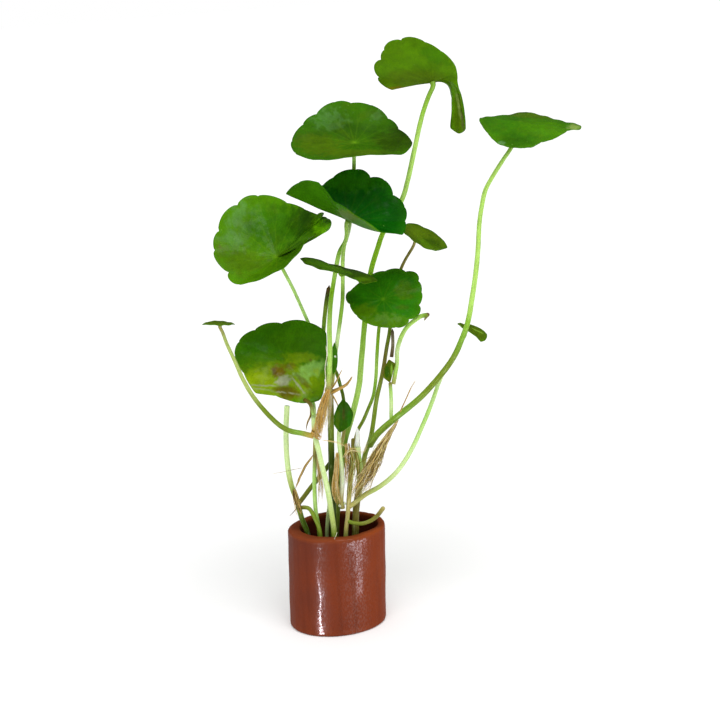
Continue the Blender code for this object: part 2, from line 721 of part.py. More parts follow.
def add_ring() -> None:
    """Clay ring: a turned wall with eased edges, leaning a little to one side."""
    edge = RING_EDGE_ROUND
    profile = (
        (RING_BORE_RADIUS, 0.0),
        (RING_OUTER_RADIUS - edge, 0.0),
        (RING_OUTER_RADIUS - 0.3 * edge, 0.3 * edge),
        (RING_OUTER_RADIUS, edge),
        (RING_OUTER_RADIUS, RING_HEIGHT - edge),
        (RING_OUTER_RADIUS - 0.3 * edge, RING_HEIGHT - 0.3 * edge),
        (RING_OUTER_RADIUS - edge, RING_HEIGHT),
        (RING_BORE_RADIUS + 0.5 * edge, RING_HEIGHT),
        (RING_BORE_RADIUS, RING_HEIGHT - 0.5 * edge),
    )
    shape = bmesh.new()
    corners = [shape.verts.new(Vector((radius, 0.0, height)) * MM) for radius, height in profile]
    for start, stop in zip(corners, corners[1:] + corners[:1]):
        shape.edges.new((start, stop))
    bmesh.ops.spin(
        shape,
        geom=shape.verts[:] + shape.edges[:],
        axis=(0.0, 0.0, 1.0),
        cent=(0.0, 0.0, 0.0),
        angle=2 * math.pi,
        steps=RING_FACETS,
        use_merge=True,
    )
    bmesh.ops.remove_doubles(shape, verts=shape.verts[:], dist=0.01 * MM)
    bmesh.ops.recalc_face_normals(shape, faces=shape.faces[:])
    middle = (RING_OUTER_RADIUS + RING_BORE_RADIUS) / 2 * MM
    for vert in shape.verts:
        in_bore = vert.co.xy.length < middle
        vert.co += (RING_BORE_SHIFT if in_bore else RING_WALL_SHIFT) * MM
    lean = Matrix.Identity(4)
    lean[0][2] = RING_LEAN / RING_HEIGHT
    stand = Matrix.Translation(RING_PLACE * MM)
    bmesh.ops.transform(shape, matrix=stand @ lean, verts=shape.verts[:])
    mesh = bpy.data.meshes.new("clay_ring")
    shape.to_mesh(mesh)
    shape.free()
    mesh.shade_smooth()
    mesh.set_sharp_from_angle(angle=math.radians(35))
    add_object("clay_ring", mesh, CLAY)


def main() -> None:
    """Clear the scene and build every piece."""
    for old in list(bpy.data.objects):
        bpy.data.objects.remove(old, do_unlink=True)
    add_ring()
    leaves = {leaf.name: leaf for leaf in LEAVES}
    for leaf in LEAVES:
        add_leaf(leaf)
    for stalk in STALKS:
        add_stalk(stalk, leaves)
    for root in ROOTS:
        add_root(root)


main()
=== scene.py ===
"""Whorled pennywort in a fired clay ring: the finish of every surface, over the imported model.

The plant's places are given as in its construction: a point is written (across, down, depth), where
it is seen in a front picture 720 points across and 717 down, and how many millimetres it lies behind
the axis of the ring. Thicknesses and radii are real millimetres, and meshes are made in metres.
"""

import logging
import math
import random
from dataclasses import dataclass
from enum import Enum
from typing import Iterable, Optional, Union

import bpy
import numpy as np
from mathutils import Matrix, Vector, noise


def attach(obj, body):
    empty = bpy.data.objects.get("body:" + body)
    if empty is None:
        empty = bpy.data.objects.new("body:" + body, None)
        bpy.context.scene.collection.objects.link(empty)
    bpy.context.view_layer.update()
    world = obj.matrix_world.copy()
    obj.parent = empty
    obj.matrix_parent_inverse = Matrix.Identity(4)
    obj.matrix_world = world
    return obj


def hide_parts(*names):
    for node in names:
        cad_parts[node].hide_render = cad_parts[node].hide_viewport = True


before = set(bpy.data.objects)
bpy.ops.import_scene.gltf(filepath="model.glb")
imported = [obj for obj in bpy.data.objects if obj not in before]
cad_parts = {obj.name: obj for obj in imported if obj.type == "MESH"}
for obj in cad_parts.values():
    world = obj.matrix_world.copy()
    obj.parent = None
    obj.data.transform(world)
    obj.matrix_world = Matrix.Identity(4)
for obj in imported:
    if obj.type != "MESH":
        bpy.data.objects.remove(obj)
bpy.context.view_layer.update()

LOG = logging.getLogger("pennywort")
MM = 0.001
BODY = "root"


@dataclass(frozen=True)
class Sight:
    """Where the front picture is seen from, and how its points fan out from there."""

    ring_place: tuple = (-26.8, 0.8, 0.0)
    eye_from_ring: tuple = (14.3, -534.4, 202.4)
    middle: tuple = (360.0, 358.5)
    width: float = 720.0
    focal_points: float = 1740.0
    pitch: float = math.radians(12.3)
    roll: float = math.radians(4.5)
    sensor_mm: float = 36.0
    clip: tuple = (0.01, 20.0)

    @property
    def eye(self) -> Vector:
        """Eye point in mm."""
        return Vector(self.ring_place) + Vector(self.eye_from_ring)

    @property
    def forward(self) -> Vector:
        """Direction of view."""
        return Vector((0.0, math.cos(self.pitch), -math.sin(self.pitch)))

    @property
    def upward(self) -> Vector:
        """Direction of up in the level picture."""
        return Vector((0.0, math.sin(self.pitch), math.cos(self.pitch)))

    def place(self, across: float, down: float, depth: float) -> Vector:
        """Point in mm seen at a place of the picture.

        Args:
            across: place in the picture from its left edge.
            down: place in the picture from its top edge.
            depth: how far the point lies behind the axis of the ring, in mm.

        Returns:
            The point in the object's frame.
        """
        shift_x = across - self.middle[0]
        shift_y = down - self.middle[1]
        level_x = shift_x * math.cos(self.roll) - shift_y * math.sin(self.roll)
        level_y = shift_x * math.sin(self.roll) + shift_y * math.cos(self.roll)
        sideways = Vector((level_x, 0.0, 0.0))
        ray = self.forward + (sideways - self.upward * level_y) / self.focal_points
        return self.eye + ray * ((self.ring_place[1] + depth - self.eye.y) / ray.y)

    def picture(self, points: np.ndarray) -> np.ndarray:
        """Places in the picture of points given in mm.

        Args:
            points: one row for each point.

        Returns:
            One row of (across, down) for each point.
        """
        from_eye = points - np.array(self.eye)
        ahead = from_eye @ np.array(self.forward)
        level_x = from_eye[:, 0] / ahead * self.focal_points
        level_y = -(from_eye @ np.array(self.upward)) / ahead * self.focal_points
        across = level_x * math.cos(self.roll) + level_y * math.sin(self.roll)
        down = level_y * math.cos(self.roll) - level_x * math.sin(self.roll)
        return np.stack((across + self.middle[0], down + self.middle[1]), axis=1)

    def add_camera(self) -> None:
        """Adds the camera that sees the picture."""
        bpy.ops.object.camera_add(location=self.eye * MM)
        camera = bpy.context.object
        camera.name = "front_camera"
        camera.rotation_euler = self.forward.to_track_quat("-Z", "Y").to_euler()
        camera.rotation_euler.rotate_axis("Z", -self.roll)
        camera.data.lens = self.focal_points * self.sensor_mm / self.width
        camera.data.sensor_width = self.sensor_mm
        camera.data.clip_start, camera.data.clip_end = self.clip
        bpy.context.scene.camera = camera


SIGHT = Sight()


class Slot(Enum):
    """The record's material slots."""

    CLAY = "fired_clay"
    GREEN_BLADE = "leaf_green"
    DARK_BLADE = "leaf_dark_green"
    DECAYED_BLADE = "leaf_decaying"
    STALK = "stalk_green"
    OLD_STALK = "stalk_olive"
    PALE_STALK = "stalk_pale"
    DEAD_STALK = "stalk_dead"
    ROOT = "root_brown"


class Hue(Enum):
    """Colours of the plant and its ring: levels of red, green and blue out of 255."""

    GRASS = (84, 130, 3)
    LEAF = (56, 114, 4)
    MID_LEAF = (56, 104, 3)
    # The next colour is painted shade: the leaf green where folds, creases and other leaves shade it.
    SHADED_LEAF = (44, 88, 2)
    OLIVE_LEAF = (80, 106, 4)
    DARK_OLIVE = (50, 80, 2)
    # The next colour is a painted highlight: a pale bluish wash where the wet leaves mirror the light.
    SHEEN = (96, 142, 76)
    DEEP_LEAF = (42, 112, 2)
    # The next colour is painted light: a bright yellow-green that lightens lobes and flaps as if lit.
    GLEAM = (126, 200, 10)
    # The next colour is partly painted light: the stalks' own yellow-green made brighter where leaves
    # shade them.
    SPRING = (146, 200, 26)
    BOTTLE = (8, 82, 2)
    FRESH = (76, 128, 3)
    MOSSY = (82, 110, 6)
    YELLOW_GREEN = (156, 182, 6)
    UMBER = (84, 62, 24)
    RUST = (122, 98, 8)
    FILM = (176, 180, 152)
    # The next colour is a painted reflection: the pale green glare on the wet part of the decaying leaf.
    WET_SAGE = (148, 200, 92)
    OLIVE_ROT = (96, 84, 6)
    LIME = (148, 196, 62)
    PALE_LIME = (188, 230, 112)
    CREAM = (218, 242, 172)
    VEIN = (122, 168, 22)
    HUB = (122, 170, 28)
    IVORY = (232, 240, 214)
    PAPER = (244, 246, 240)
    SAP = (130, 172, 56)
    MINT = (184, 228, 122)
    STEM_GREEN = (110, 150, 24)
    STEM_OLIVE = (122, 146, 38)
    HAY = (184, 202, 112)
    STEM_DARK = (60, 82, 8)
    STEM_BROWN = (128, 118, 48)
    STRAW = (184, 172, 100)
    BARK = (96, 70, 34)
    PURPLE_BROWN = (92, 70, 58)
    TAUPE = (158, 146, 120)
    ROOT_TAN = (228, 194, 112)
    ROOT_ORANGE = (212, 166, 80)
    ROOT_STRAW = (232, 212, 150)
    ROOT_DARK = (142, 112, 54)
    ROOT_WHITE = (238, 230, 206)
    TERRACOTTA = (134, 56, 22)
    CLAY_DARK = (70, 26, 14)
    CLAY_PURPLE = (104, 48, 34)
    CLAY_ORANGE = (148, 72, 30)
    CLAY_DUST = (176, 128, 112)

    @property
    def linear(self) -> tuple:
        """The colour as amounts of light from 0 to 1."""
        levels = (level / 255.0 for level in self.value)
        return tuple(v / 12.92 if v <= 0.04045 else ((v + 0.055) / 1.055) ** 2.4 for v in levels)


class Blend(Enum):
    """How a colour is laid over another."""

    COVER = "MIX"
    DARKEN = "MULTIPLY"
    LIGHTEN = "SCREEN"


class Value:
    """A shader socket that can be written in sums: each operator adds a Math node."""

    def __init__(self, tree: "Tree", socket: bpy.types.NodeSocket) -> None:
        """Wraps a socket of a tree."""
        self.tree = tree
        self.socket = socket

    def _math(self, operation: str, *terms: Union["Value", float], clamp: bool = False) -> "Value":
        """Adds a Math node.

        Args:
            operation: the node's operation.
            terms: its inputs, values or numbers.
            clamp: whether the result is kept between 0 and 1.

        Returns:
            The result.
        """
        made = self.tree.node("ShaderNodeMath", {"operation": operation, "use_clamp": clamp},
                              dict(enumerate(terms)))
        return made["Value"]

    def __add__(self, other: Union["Value", float]) -> "Value":
        """Sum."""
        return self._math("ADD", self, other)

    __radd__ = __add__

    def __mul__(self, other: Union["Value", float]) -> "Value":
        """Product."""
        return self._math("MULTIPLY", self, other)

    __rmul__ = __mul__

    def __sub__(self, other: Union["Value", float]) -> "Value":
        """Difference."""
        return self._math("SUBTRACT", self, other)

    def __rsub__(self, other: float) -> "Value":
        """Difference from a number."""
        return self._math("SUBTRACT", other, self)

    def __truediv__(self, other: Union["Value", float]) -> "Value":
        """Quotient."""
        return self._math("DIVIDE", self, other)

    def __abs__(self) -> "Value":
        """Size without sign."""
        return self._math("ABSOLUTE", self)

    def held(self) -> "Value":
        """The value kept between 0 and 1."""
        return self._math("ADD", self, 0.0, clamp=True)

    def rise(self, low: float, high: float) -> "Value":
        """A smooth step from 0 at low to 1 at high.

        Args:
            low: where the step starts.
            high: where it ends, below low for a fall.

        Returns:
            The step.
        """
        if high < low:
            return 1.0 - self.rise(high, low)
        made = self.tree.node("ShaderNodeMapRange", {"interpolation_type": "SMOOTHSTEP"},
                              {"Value": self, "From Min": low, "From Max": high})
        return made["Result"]


class Made:
    """A node that was added, whose outputs are read by name."""

    def __init__(self, tree: "Tree", node: bpy.types.Node) -> None:
        """Wraps a node of a tree."""
        self.tree = tree
        self.node = node

    def __getitem__(self, name: str) -> Value:
        """Finds the output of a name that can be used.

        Args:
            name: the output's name.

        Returns:
            The output.
        """
        for socket in self.node.outputs:
            if socket.name == name and socket.enabled:
                return Value(self.tree, socket)
        raise KeyError(name)


class Tree:
    """A node tree under construction."""

    def __init__(self, nodes: bpy.types.NodeTree) -> None:
        """Wraps a node tree."""
        self.nodes = nodes

    def node(self, kind: str, settings: Optional[dict] = None, inputs: Optional[dict] = None) -> Made:
        """Adds a node.

        Args:
            kind: the node's type.
            settings: its properties; "stops" are a ramp's (place, colour) pairs.
            inputs: values or links by the name or number of its sockets.

        Returns:
            The node.
        """
        node = self.nodes.nodes.new(kind)
        for name, setting in (settings or {}).items():
            if name == "stops":
                self._set_stops(node.color_ramp, setting)
            else:
                setattr(node, name, setting)
        for key, value in (inputs or {}).items():
            self.feed(self._socket(node, key), value)
        return Made(self, node)

    @staticmethod
    def _set_stops(ramp: bpy.types.ColorRamp, stops: Iterable) -> None:
        """Gives a ramp its stops.

        Args:
            ramp: the ramp.
            stops: its (place, colour) pairs.
        """
        stops = list(stops)
        while len(ramp.elements) < len(stops):
            ramp.elements.new(1.0)
        for element, (spot, colour) in zip(ramp.elements, stops):
            element.position = spot
            element.color = (*colour, 1.0)

    @staticmethod
    def _socket(node: bpy.types.Node, key: Union[str, int]) -> bpy.types.NodeSocket:
        """Finds an input of a node that can be used.

        Args:
            node: the node.
            key: the input's name or number.

        Returns:
            The input.
        """
        if isinstance(key, int):
            return node.inputs[key]
        return next(socket for socket in node.inputs if socket.name == key and socket.enabled)

    def feed(self, socket: bpy.types.NodeSocket, value: Union[Value, Hue, float, tuple]) -> None:
        """Links or sets a socket.

        Args:
            socket: the socket.
            value: a value to link, or a colour or number to set.
        """
        if isinstance(value, Value):
            self.nodes.links.new(value.socket, socket)
            return
        if isinstance(value, Hue):
            value = value.linear
        if socket.type == "RGBA":
            value = (*value, 1.0)
        socket.default_value = value


class Finish(Tree):
    """A material under construction."""

    def __init__(self, name: str) -> None:
        """Starts a material with a Principled shader."""
        self.material = bpy.data.materials.new(name)
        self.material.use_nodes = True
        super().__init__(self.material.node_tree)
        self.shader = self.nodes.nodes["Principled BSDF"]

    def attribute(self, name: str) -> Value:
        """Number that the mesh holds under a name."""
        return self.node("ShaderNodeAttribute", {"attribute_name": name})["Fac"]

    def painted(self) -> Value:
        """Colour that the mesh holds."""
        return self.node("ShaderNodeAttribute", {"attribute_name": "hue"})["Color"]

    def position(self) -> Value:
        """Object coordinates."""
        return self.node("ShaderNodeTexCoord")["Object"]

    def along_surface(self, pull: float) -> Value:
        """Coordinates in mm that run round and along a stem.

        Args:
            pull: how much the pattern is drawn out along the stem.

        Returns:
            The coordinates.
        """
        made = self.node("ShaderNodeCombineXYZ", {},
                         {"X": self.attribute("round_x"), "Y": self.attribute("round_y"),
                          "Z": self.attribute("down_mm") * (1.0 / pull)})
        return made["Vector"]

    def grain(self, scale: float, detail: float = 2.0, stretch: tuple = (1.0, 1.0, 1.0),
              spot: Optional[Value] = None) -> Value:
        """Smooth noise between about 0.2 and 0.8.

        Args:
            scale: how many lumps there are in a metre, or in a mm along a surface.
            detail: how many finer layers are added.
            stretch: how much the pattern is squeezed along each axis.
            spot: the coordinates, object coordinates if none.

        Returns:
            The noise.
        """
        where = self.position() if spot is None else spot
        if stretch != (1.0, 1.0, 1.0):
            where = self.node("ShaderNodeMapping", {}, {"Vector": where, "Scale": stretch})["Vector"]
        made = self.node("ShaderNodeTexNoise", {}, {"Vector": where, "Scale": scale, "Detail": detail})
        return made["Fac"]

    def cells(self, scale: float, feature: str = "DISTANCE_TO_EDGE") -> Value:
        """Distance in a pattern of cells.

        Args:
            scale: how many cells there are in a metre.
            feature: the distance that is measured.

        Returns:
            The distance, in cells.
        """
        made = self.node("ShaderNodeTexVoronoi", {"feature": feature},
                         {"Vector": self.position(), "Scale": scale})
        return made["Distance"]

    def lay(self, under: Union[Value, Hue, tuple], over: Union[Value, Hue, tuple],
            share: Union[Value, float], how: Blend = Blend.COVER) -> Value:
        """Lays one colour over another.

        Args:
            under: the colour below.
            over: the colour above.
            share: how much of the colour above shows.
            how: the way that they combine.

        Returns:
            The mixed colour.
        """
        made = self.node("ShaderNodeMix", {"data_type": "RGBA", "blend_type": how.value},
                         {"Factor": share, "A": under, "B": over})
        return made["Result"]

    def relief(self, height: Value, depth_mm: float, under: Optional[Value] = None) -> Value:
        """Turns a height into a bumpy normal.

        Args:
            height: the height, 0 to 1.
            depth_mm: how deep 1 is.
            under: a normal that this one adds to.

        Returns:
            The normal.
        """
        inputs = {"Height": height, "Distance": depth_mm * MM, "Strength": 1.0}
        if under is not None:
            inputs["Normal"] = under
        return self.node("ShaderNodeBump", {}, inputs)["Normal"]

    def dress(self, colour: Value, roughness: Union[Value, float], normal: Value,
              **others: Union[Value, float, tuple]) -> bpy.types.Material:
        """Feeds the shader.

        Args:
            colour: the base colour.
            roughness: the roughness.
            normal: the normal.
            others: further sockets by name, with _ for a space.

        Returns:
            The finished material.
        """
        named = {"Base Color": colour, "Roughness": roughness, "Normal": normal}
        named.update({name.replace("_", " "): value for name, value in others.items()})
        for name, value in named.items():
            self.feed(self.shader.inputs[name], value)
        return self.material


@dataclass(frozen=True)
class BladeFinish:
    """The skin of a leaf blade: painted colour in clouds, faint forked veins and wet patches."""

    slot: Slot
    roughness: float = 0.5
    polish: float = 0.15
    mottle: float = 0.30
    moss: float = 0.28
    vein_share: float = 0.12
    vein_width_mm: tuple = (0.46, 0.20)
    relief_mm: float = 0.12

    def make(self) -> bpy.types.Material:
        """Builds the material."""
        finish = Finish(self.slot.value + "_skin")
        reach = finish.attribute("reach")
        upper = finish.attribute("upper")
        fork = ((reach - Blade.FORK_START) / (1.0 - Blade.FORK_START)).held() * Blade.FORK_SPREAD
        twig = ((reach - Blade.TWIG_START) / (1.0 - Blade.TWIG_START)).held() * Blade.TWIG_SPREAD
        apart = abs(abs(finish.attribute("lane") - fork) - twig) * finish.attribute("span")
        at_hub, at_margin = self.vein_width_mm
        vein = (apart / (at_hub - reach * (at_hub - at_margin))).rise(1.0, 0.2) * reach.rise(1.0, 0.35)
        vein = vein * finish.attribute("veined")
        net = finish.cells(820.0).rise(0.12, 0.0)
        clouds = finish.grain(120.0, 4.0)
        fine = finish.grain(1400.0, 3.0)
        colour = finish.painted()
        colour = finish.lay(colour, Hue.MOSSY, finish.grain(210.0, 3.0).rise(0.50, 0.74) * self.moss)
        blotches = finish.grain(430.0, 3.0)
        shade = 1.0 + ((clouds - 0.5) * 3.2 + (blotches - 0.5) * 1.6) * self.mottle + (fine - 0.5) * 0.24
        colour = finish.lay(colour, shade, 1.0, Blend.DARKEN)
        colour = finish.lay(colour, Hue.BOTTLE, net * 0.08)
        colour = finish.lay(colour, Hue.VEIN, vein * self.vein_share)
        specks = finish.cells(520.0, "F1").rise(0.13, 0.05) * finish.grain(300.0, 1.0).rise(0.58, 0.7)
        colour = finish.lay(colour, Hue.PALE_LIME, specks * 0.22)
        wet = (finish.grain(100.0, 2.0) * 0.55 + finish.grain(560.0, 3.0) * 0.45).rise(0.47, 0.60)
        height = finish.grain(620.0, 2.0) * 0.6 + finish.grain(200.0, 2.0) * 1.2 - net * 0.16 - vein * 0.10
        normal = finish.relief(height, self.relief_mm)
        rough = self.roughness + (fine - 0.5) * 0.25
        return finish.dress(
            colour, rough, normal,
            Specular_IOR_Level=0.03,
            Coat_Weight=wet * upper * self.polish,
            Coat_Roughness=0.26,
            Subsurface_Weight=0.12,
            Subsurface_Radius=(0.6, 1.0, 0.1),
            Subsurface_Scale=0.0008,
        )


@dataclass(frozen=True)
class StemFinish:
    """The skin of a stem: painted colour with long streaks and fine ridges."""

    slot: Slot
    roughness: float = 0.36
    streak: Hue = Hue.STEM_DARK
    streak_share: float = 0.3
    speckle: Hue = Hue.CREAM
    speckle_share: float = 0.25
    glow: float = 0.25
    ridge_mm: float = 0.05

    def make(self) -> bpy.types.Material:
        """Builds the material."""
        finish = Finish(self.slot.value + "_skin")
        drawn_out = finish.along_surface(9.0)
        streaks = finish.grain(2.6, 3.0, spot=drawn_out)
        ridges = finish.grain(5.5, 2.0, spot=finish.along_surface(30.0))
        patches = finish.grain(0.35, 3.0, spot=finish.along_surface(1.6))
        fine = finish.grain(2600.0, 2.0)
        colour = finish.painted()
        colour = finish.lay(colour, self.streak, streaks.rise(0.52, 0.72) * self.streak_share)
        colour = finish.lay(colour, self.speckle, streaks.rise(0.44, 0.28) * self.speckle_share)
        colour = finish.lay(colour, self.streak, patches.rise(0.58, 0.74) * self.streak_share * 0.7)
        colour = finish.lay(colour, fine * 0.5 + 0.72, 1.0, Blend.DARKEN)
        normal = finish.relief(ridges * 0.7 + fine * 0.3, self.ridge_mm)
        return finish.dress(
            colour, self.roughness + (fine - 0.5) * 0.2, normal,
            Specular_IOR_Level=0.12,
            Subsurface_Weight=self.glow,
            Subsurface_Radius=(0.8, 1.0, 0.3),
            Subsurface_Scale=0.0009,
        )


@dataclass(frozen=True)
class ClayFinish:
    """Fired clay: drawn out upright, with grit, dust and two rubbed bands that shine in specks."""

    relief_mm: float = 0.16
    coat_everywhere: float = 0.05
    coat_between_specks: float = 0.2

    def make(self) -> bpy.types.Material:
        """Builds the material."""
        finish = Finish(Slot.CLAY.value + "_skin")
        clouds = finish.grain(60.0, 4.0)
        long_streaks = finish.grain(420.0, 3.0, (1.0, 1.0, 0.03))
        short_streaks = finish.grain(900.0, 3.0, (1.0, 1.0, 0.12))
        grit = finish.grain(2400.0, 2.0)
        pocks = finish.grain(2300.0, 3.0, (1.0, 1.0, 0.6))
        inside = finish.attribute("inside")
        lip = finish.attribute("lip")
        height = finish.attribute("height")
        warmth = finish.attribute("warmth")
        # The clay turns purple towards the left side, painted shade on the side away from the light, and
        # towards the top third.
        colour = finish.lay(Hue.CLAY_PURPLE, Hue.TERRACOTTA, (warmth + (clouds - 0.5) * 1.4).held())
        colour = finish.lay(colour, Hue.CLAY_DARK, long_streaks.rise(0.50, 0.78) * 0.22)
        colour = finish.lay(colour, Hue.CLAY_ORANGE, short_streaks.rise(0.62, 0.82) * 0.25)
        # The bore is laid over with the darkest clay colour: painted shade inside the ring.
        colour = finish.lay(colour, Hue.CLAY_DARK, inside * 0.92)
        colour = finish.lay(colour, Hue.CLAY_ORANGE, lip * (0.15 + clouds * 0.5))
        colour = finish.lay(colour, Hue.CLAY_DUST,
                            grit.rise(0.70, 0.78) * short_streaks.rise(0.5, 0.7) * 0.25)
        colour = finish.lay(colour, Hue.CLAY_DARK, finish.cells(1500.0, "F1").rise(0.16, 0.08) * 0.4)
        colour = finish.lay(colour, Hue.CLAY_ORANGE, height.rise(0.10, 0.0) * clouds * 0.4)
        rough_map = 0.55 + (grit - 0.5) * 0.3 + inside * 0.2
        bumps = long_streaks * 0.25 + short_streaks * 0.1 + grit * 0.40
        normal = finish.relief(bumps, self.relief_mm)
        specks = self.coat_between_specks + pocks.rise(0.49, 0.57) * (1.0 - self.coat_between_specks)
        coat = self.coat_everywhere + finish.attribute("rubbed") * specks
        return finish.dress(
            colour, rough_map, normal,
            Specular_IOR_Level=0.03,
            Coat_Weight=coat * (1.0 - inside),
            Coat_Roughness=0.16,
        )


class Bench:
    """Modelling steps that every piece shares."""

    WELD = 0.001

    blanks: dict = {}

    @staticmethod
    def clear() -> None:
        """Selects nothing, so that no CAD node is touched."""
        bpy.ops.object.select_all(action="DESELECT")

    @classmethod
    def pick(cls, *pieces: bpy.types.Object) -> None:
        """Selects pieces.

        Args:
            pieces: the pieces, the first of which becomes the active one.
        """
        cls.clear()
        for piece in pieces:
            piece.select_set(True)
        bpy.context.view_layer.objects.active = pieces[0]

    @staticmethod
    def points(piece: bpy.types.Object) -> np.ndarray:
        """Reads the vertex places of a piece.

        Args:
            piece: the piece.

        Returns:
            One row for each vertex.
        """
        flat = np.empty(len(piece.data.vertices) * 3)
        piece.data.vertices.foreach_get("co", flat)
        return flat.reshape(-1, 3)

    @staticmethod
    def move(piece: bpy.types.Object, points: np.ndarray) -> None:
        """Gives a piece new vertex places."""
        piece.data.vertices.foreach_set("co", points.astype(np.float32).ravel())
        piece.data.update()

    @staticmethod
    def normals(piece: bpy.types.Object) -> np.ndarray:
        """Reads the vertex normals of a piece.

        Args:
            piece: the piece.

        Returns:
            One row for each vertex.
        """
        flat = np.empty(len(piece.data.vertices) * 3, np.float32)
        piece.data.vertex_normals.foreach_get("vector", flat)
        return flat.reshape(-1, 3).astype(float)

    @staticmethod
    def write(piece: bpy.types.Object, name: str, numbers: np.ndarray) -> None:
        """Stores a number at every vertex."""
        layer = piece.data.attributes.new(name, "FLOAT", "POINT")
        layer.data.foreach_set("value", np.asarray(numbers, np.float32))

    @staticmethod
    def paint(piece: bpy.types.Object, colours: np.ndarray) -> None:
        """Stores a colour at every vertex.

        Args:
            piece: the piece.
            colours: one row of light amounts for each vertex.
        """
        layer = piece.data.attributes.new("hue", "FLOAT_COLOR", "POINT")
        full = np.ones((len(colours), 4), np.float32)
        full[:, :3] = colours
        layer.data.foreach_set("color", full.ravel())

    @staticmethod
    def ripple(points: np.ndarray, size: float, seed: float) -> np.ndarray:
        """Smooth noise between about -1 and 1.

        Args:
            points: places in mm.
            size: how long a wave is, in mm.
            seed: picks another noise.

        Returns:
            The noise at every place.
        """
        shift = Vector((seed * 7.3, seed * 3.1, seed * 5.7))
        return np.array([noise.noise(Vector(point) / size + shift) for point in points])

    @classmethod
    def tube_blank(cls, sides: int, levels: int) -> bpy.types.Mesh:
        """Closed unit tube along Z with poles at both ends, made once for each size.

        Args:
            sides: how many faces go round.
            levels: how many rows of vertices there are, poles included.

        Returns:
            The mesh.
        """
        if (sides, levels) in cls.blanks:
            return cls.blanks[sides, levels]
        cls.clear()
        bpy.ops.mesh.primitive_grid_add(x_subdivisions=sides, y_subdivisions=levels - 1, size=1.0)
        blank = bpy.context.object
        flat = cls.points(blank)
        turn = (flat[:, 0] + 0.5) * 2.0 * math.pi
        level = np.rint((flat[:, 1] + 0.5) * (levels - 1))
        radius = np.where((level == 0) | (level == levels - 1), 0.0, 1.0)
        cls.move(blank, np.stack((radius * np.cos(turn), radius * np.sin(turn), level), axis=1))
        bpy.ops.object.mode_set(mode="EDIT")
        bpy.ops.mesh.select_all(action="SELECT")
        bpy.ops.mesh.remove_doubles(threshold=cls.WELD)
        bpy.ops.mesh.normals_make_consistent(inside=False)
        bpy.ops.object.mode_set(mode="OBJECT")
        bpy.ops.object.shade_smooth()
        cls.blanks[sides, levels] = blank.data
        bpy.data.objects.remove(blank)
        return cls.blanks[sides, levels]

    @classmethod
    def tube(cls, sides: int, centres: np.ndarray, radii: np.ndarray, guide: np.ndarray,
             lumps: float = 0.0) -> tuple:
        """Wraps a closed tube round a row of points, with what a stem's skin reads.

        Args:
            sides: how many faces go round.
            centres: points along its middle, in mm.
            radii: its radius at each point, 0 at both ends.
            guide: the points that its directions are taken from.
            lumps: how uneven its thickness is.

        Returns:
            The piece, its vertex places in mm, and each one's share of the way down.
        """
        piece = bpy.data.objects.new("tube", cls.tube_blank(sides, len(centres)).copy())
        bpy.context.scene.collection.objects.link(piece)
        flat = cls.points(piece)
        level = np.rint(flat[:, 2]).astype(int)
        turn = np.arctan2(flat[:, 1], flat[:, 0])
        side, over = Route.frames(guide)
        round_x = np.cos(turn) * radii[level]
        round_y = np.sin(turn) * radii[level]
        points = centres[level] + side[level] * round_x[:, None] + over[level] * round_y[:, None]
        if lumps:
            swing = lumps * cls.ripple(points, 3.2, 5.0) + 0.5 * lumps * cls.ripple(points, 1.1, 6.0)
            points = centres[level] + (points - centres[level]) * (1.0 + swing)[:, None]
        down = Route.marks(centres)
        cls.move(piece, points * MM)
        cls.write(piece, "round_x", round_x)
        cls.write(piece, "round_y", round_y)
        cls.write(piece, "down_mm", down[level])
        return piece, points, down[level] / down[-1]

    @classmethod
    def join(cls, parts: list) -> bpy.types.Object:
        """Joins pieces.

        Args:
            parts: the pieces.

        Returns:
            The first piece, which now holds them all.
        """
        cls.pick(*parts)
        if len(parts) > 1:
            bpy.ops.object.join()
        return bpy.context.view_layer.objects.active

    @classmethod
    def deliver(cls, piece: bpy.types.Object, name: str, skin: bpy.types.Material, slot: Slot,
                stands_for: Iterable = ()) -> None:
        """Names, dresses and mounts a finished piece.

        Args:
            piece: the piece.
            name: its name.
            skin: its material.
            slot: the record's slot that its finish was made for; not used.
            stands_for: the CAD nodes that it replaces.
        """
        piece.name = name
        piece.data.name = name
        piece.data.materials.clear()
        piece.data.materials.append(skin)
        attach(piece, BODY)
        for node in stands_for:
            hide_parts(node)
        LOG.info("%s: %d faces", name, len(piece.data.polygons))


class Face(Enum):
    """Which side of a blade a patch is on."""

    BOTH = "both"
    UPPER = "upper"
    UNDER = "under"


@dataclass(frozen=True)
class Blot:
    """A patch of another colour on a blade, placed in the front picture; some are painted highlights,
    reflections, light or shade.
    """

    hue: Hue
    across: float
    down: float
    wide: float
    tall: float
    strength: float = 0.8
    slant: float = 0.0
    face: Face = Face.BOTH
    ragged: float = 0.45

    def share(self, seen: np.ndarray, rough: np.ndarray) -> np.ndarray:
        """How much of the patch covers each place.

        Args:
            seen: places in the picture.
            rough: noise that frays the patch's edge.

        Returns:
            A share for every place.
        """
        turn = math.radians(self.slant)
        right = seen[:, 0] - self.across
        below = seen[:, 1] - self.down
        long = (right * math.cos(turn) + below * math.sin(turn)) / self.wide
        short = (below * math.cos(turn) - right * math.sin(turn)) / self.tall
        inside = np.clip((1.25 - np.hypot(long, short) + self.ragged * rough) / 0.7, 0.0, 1.0)
        return self.strength * inside * inside * (3.0 - 2.0 * inside)


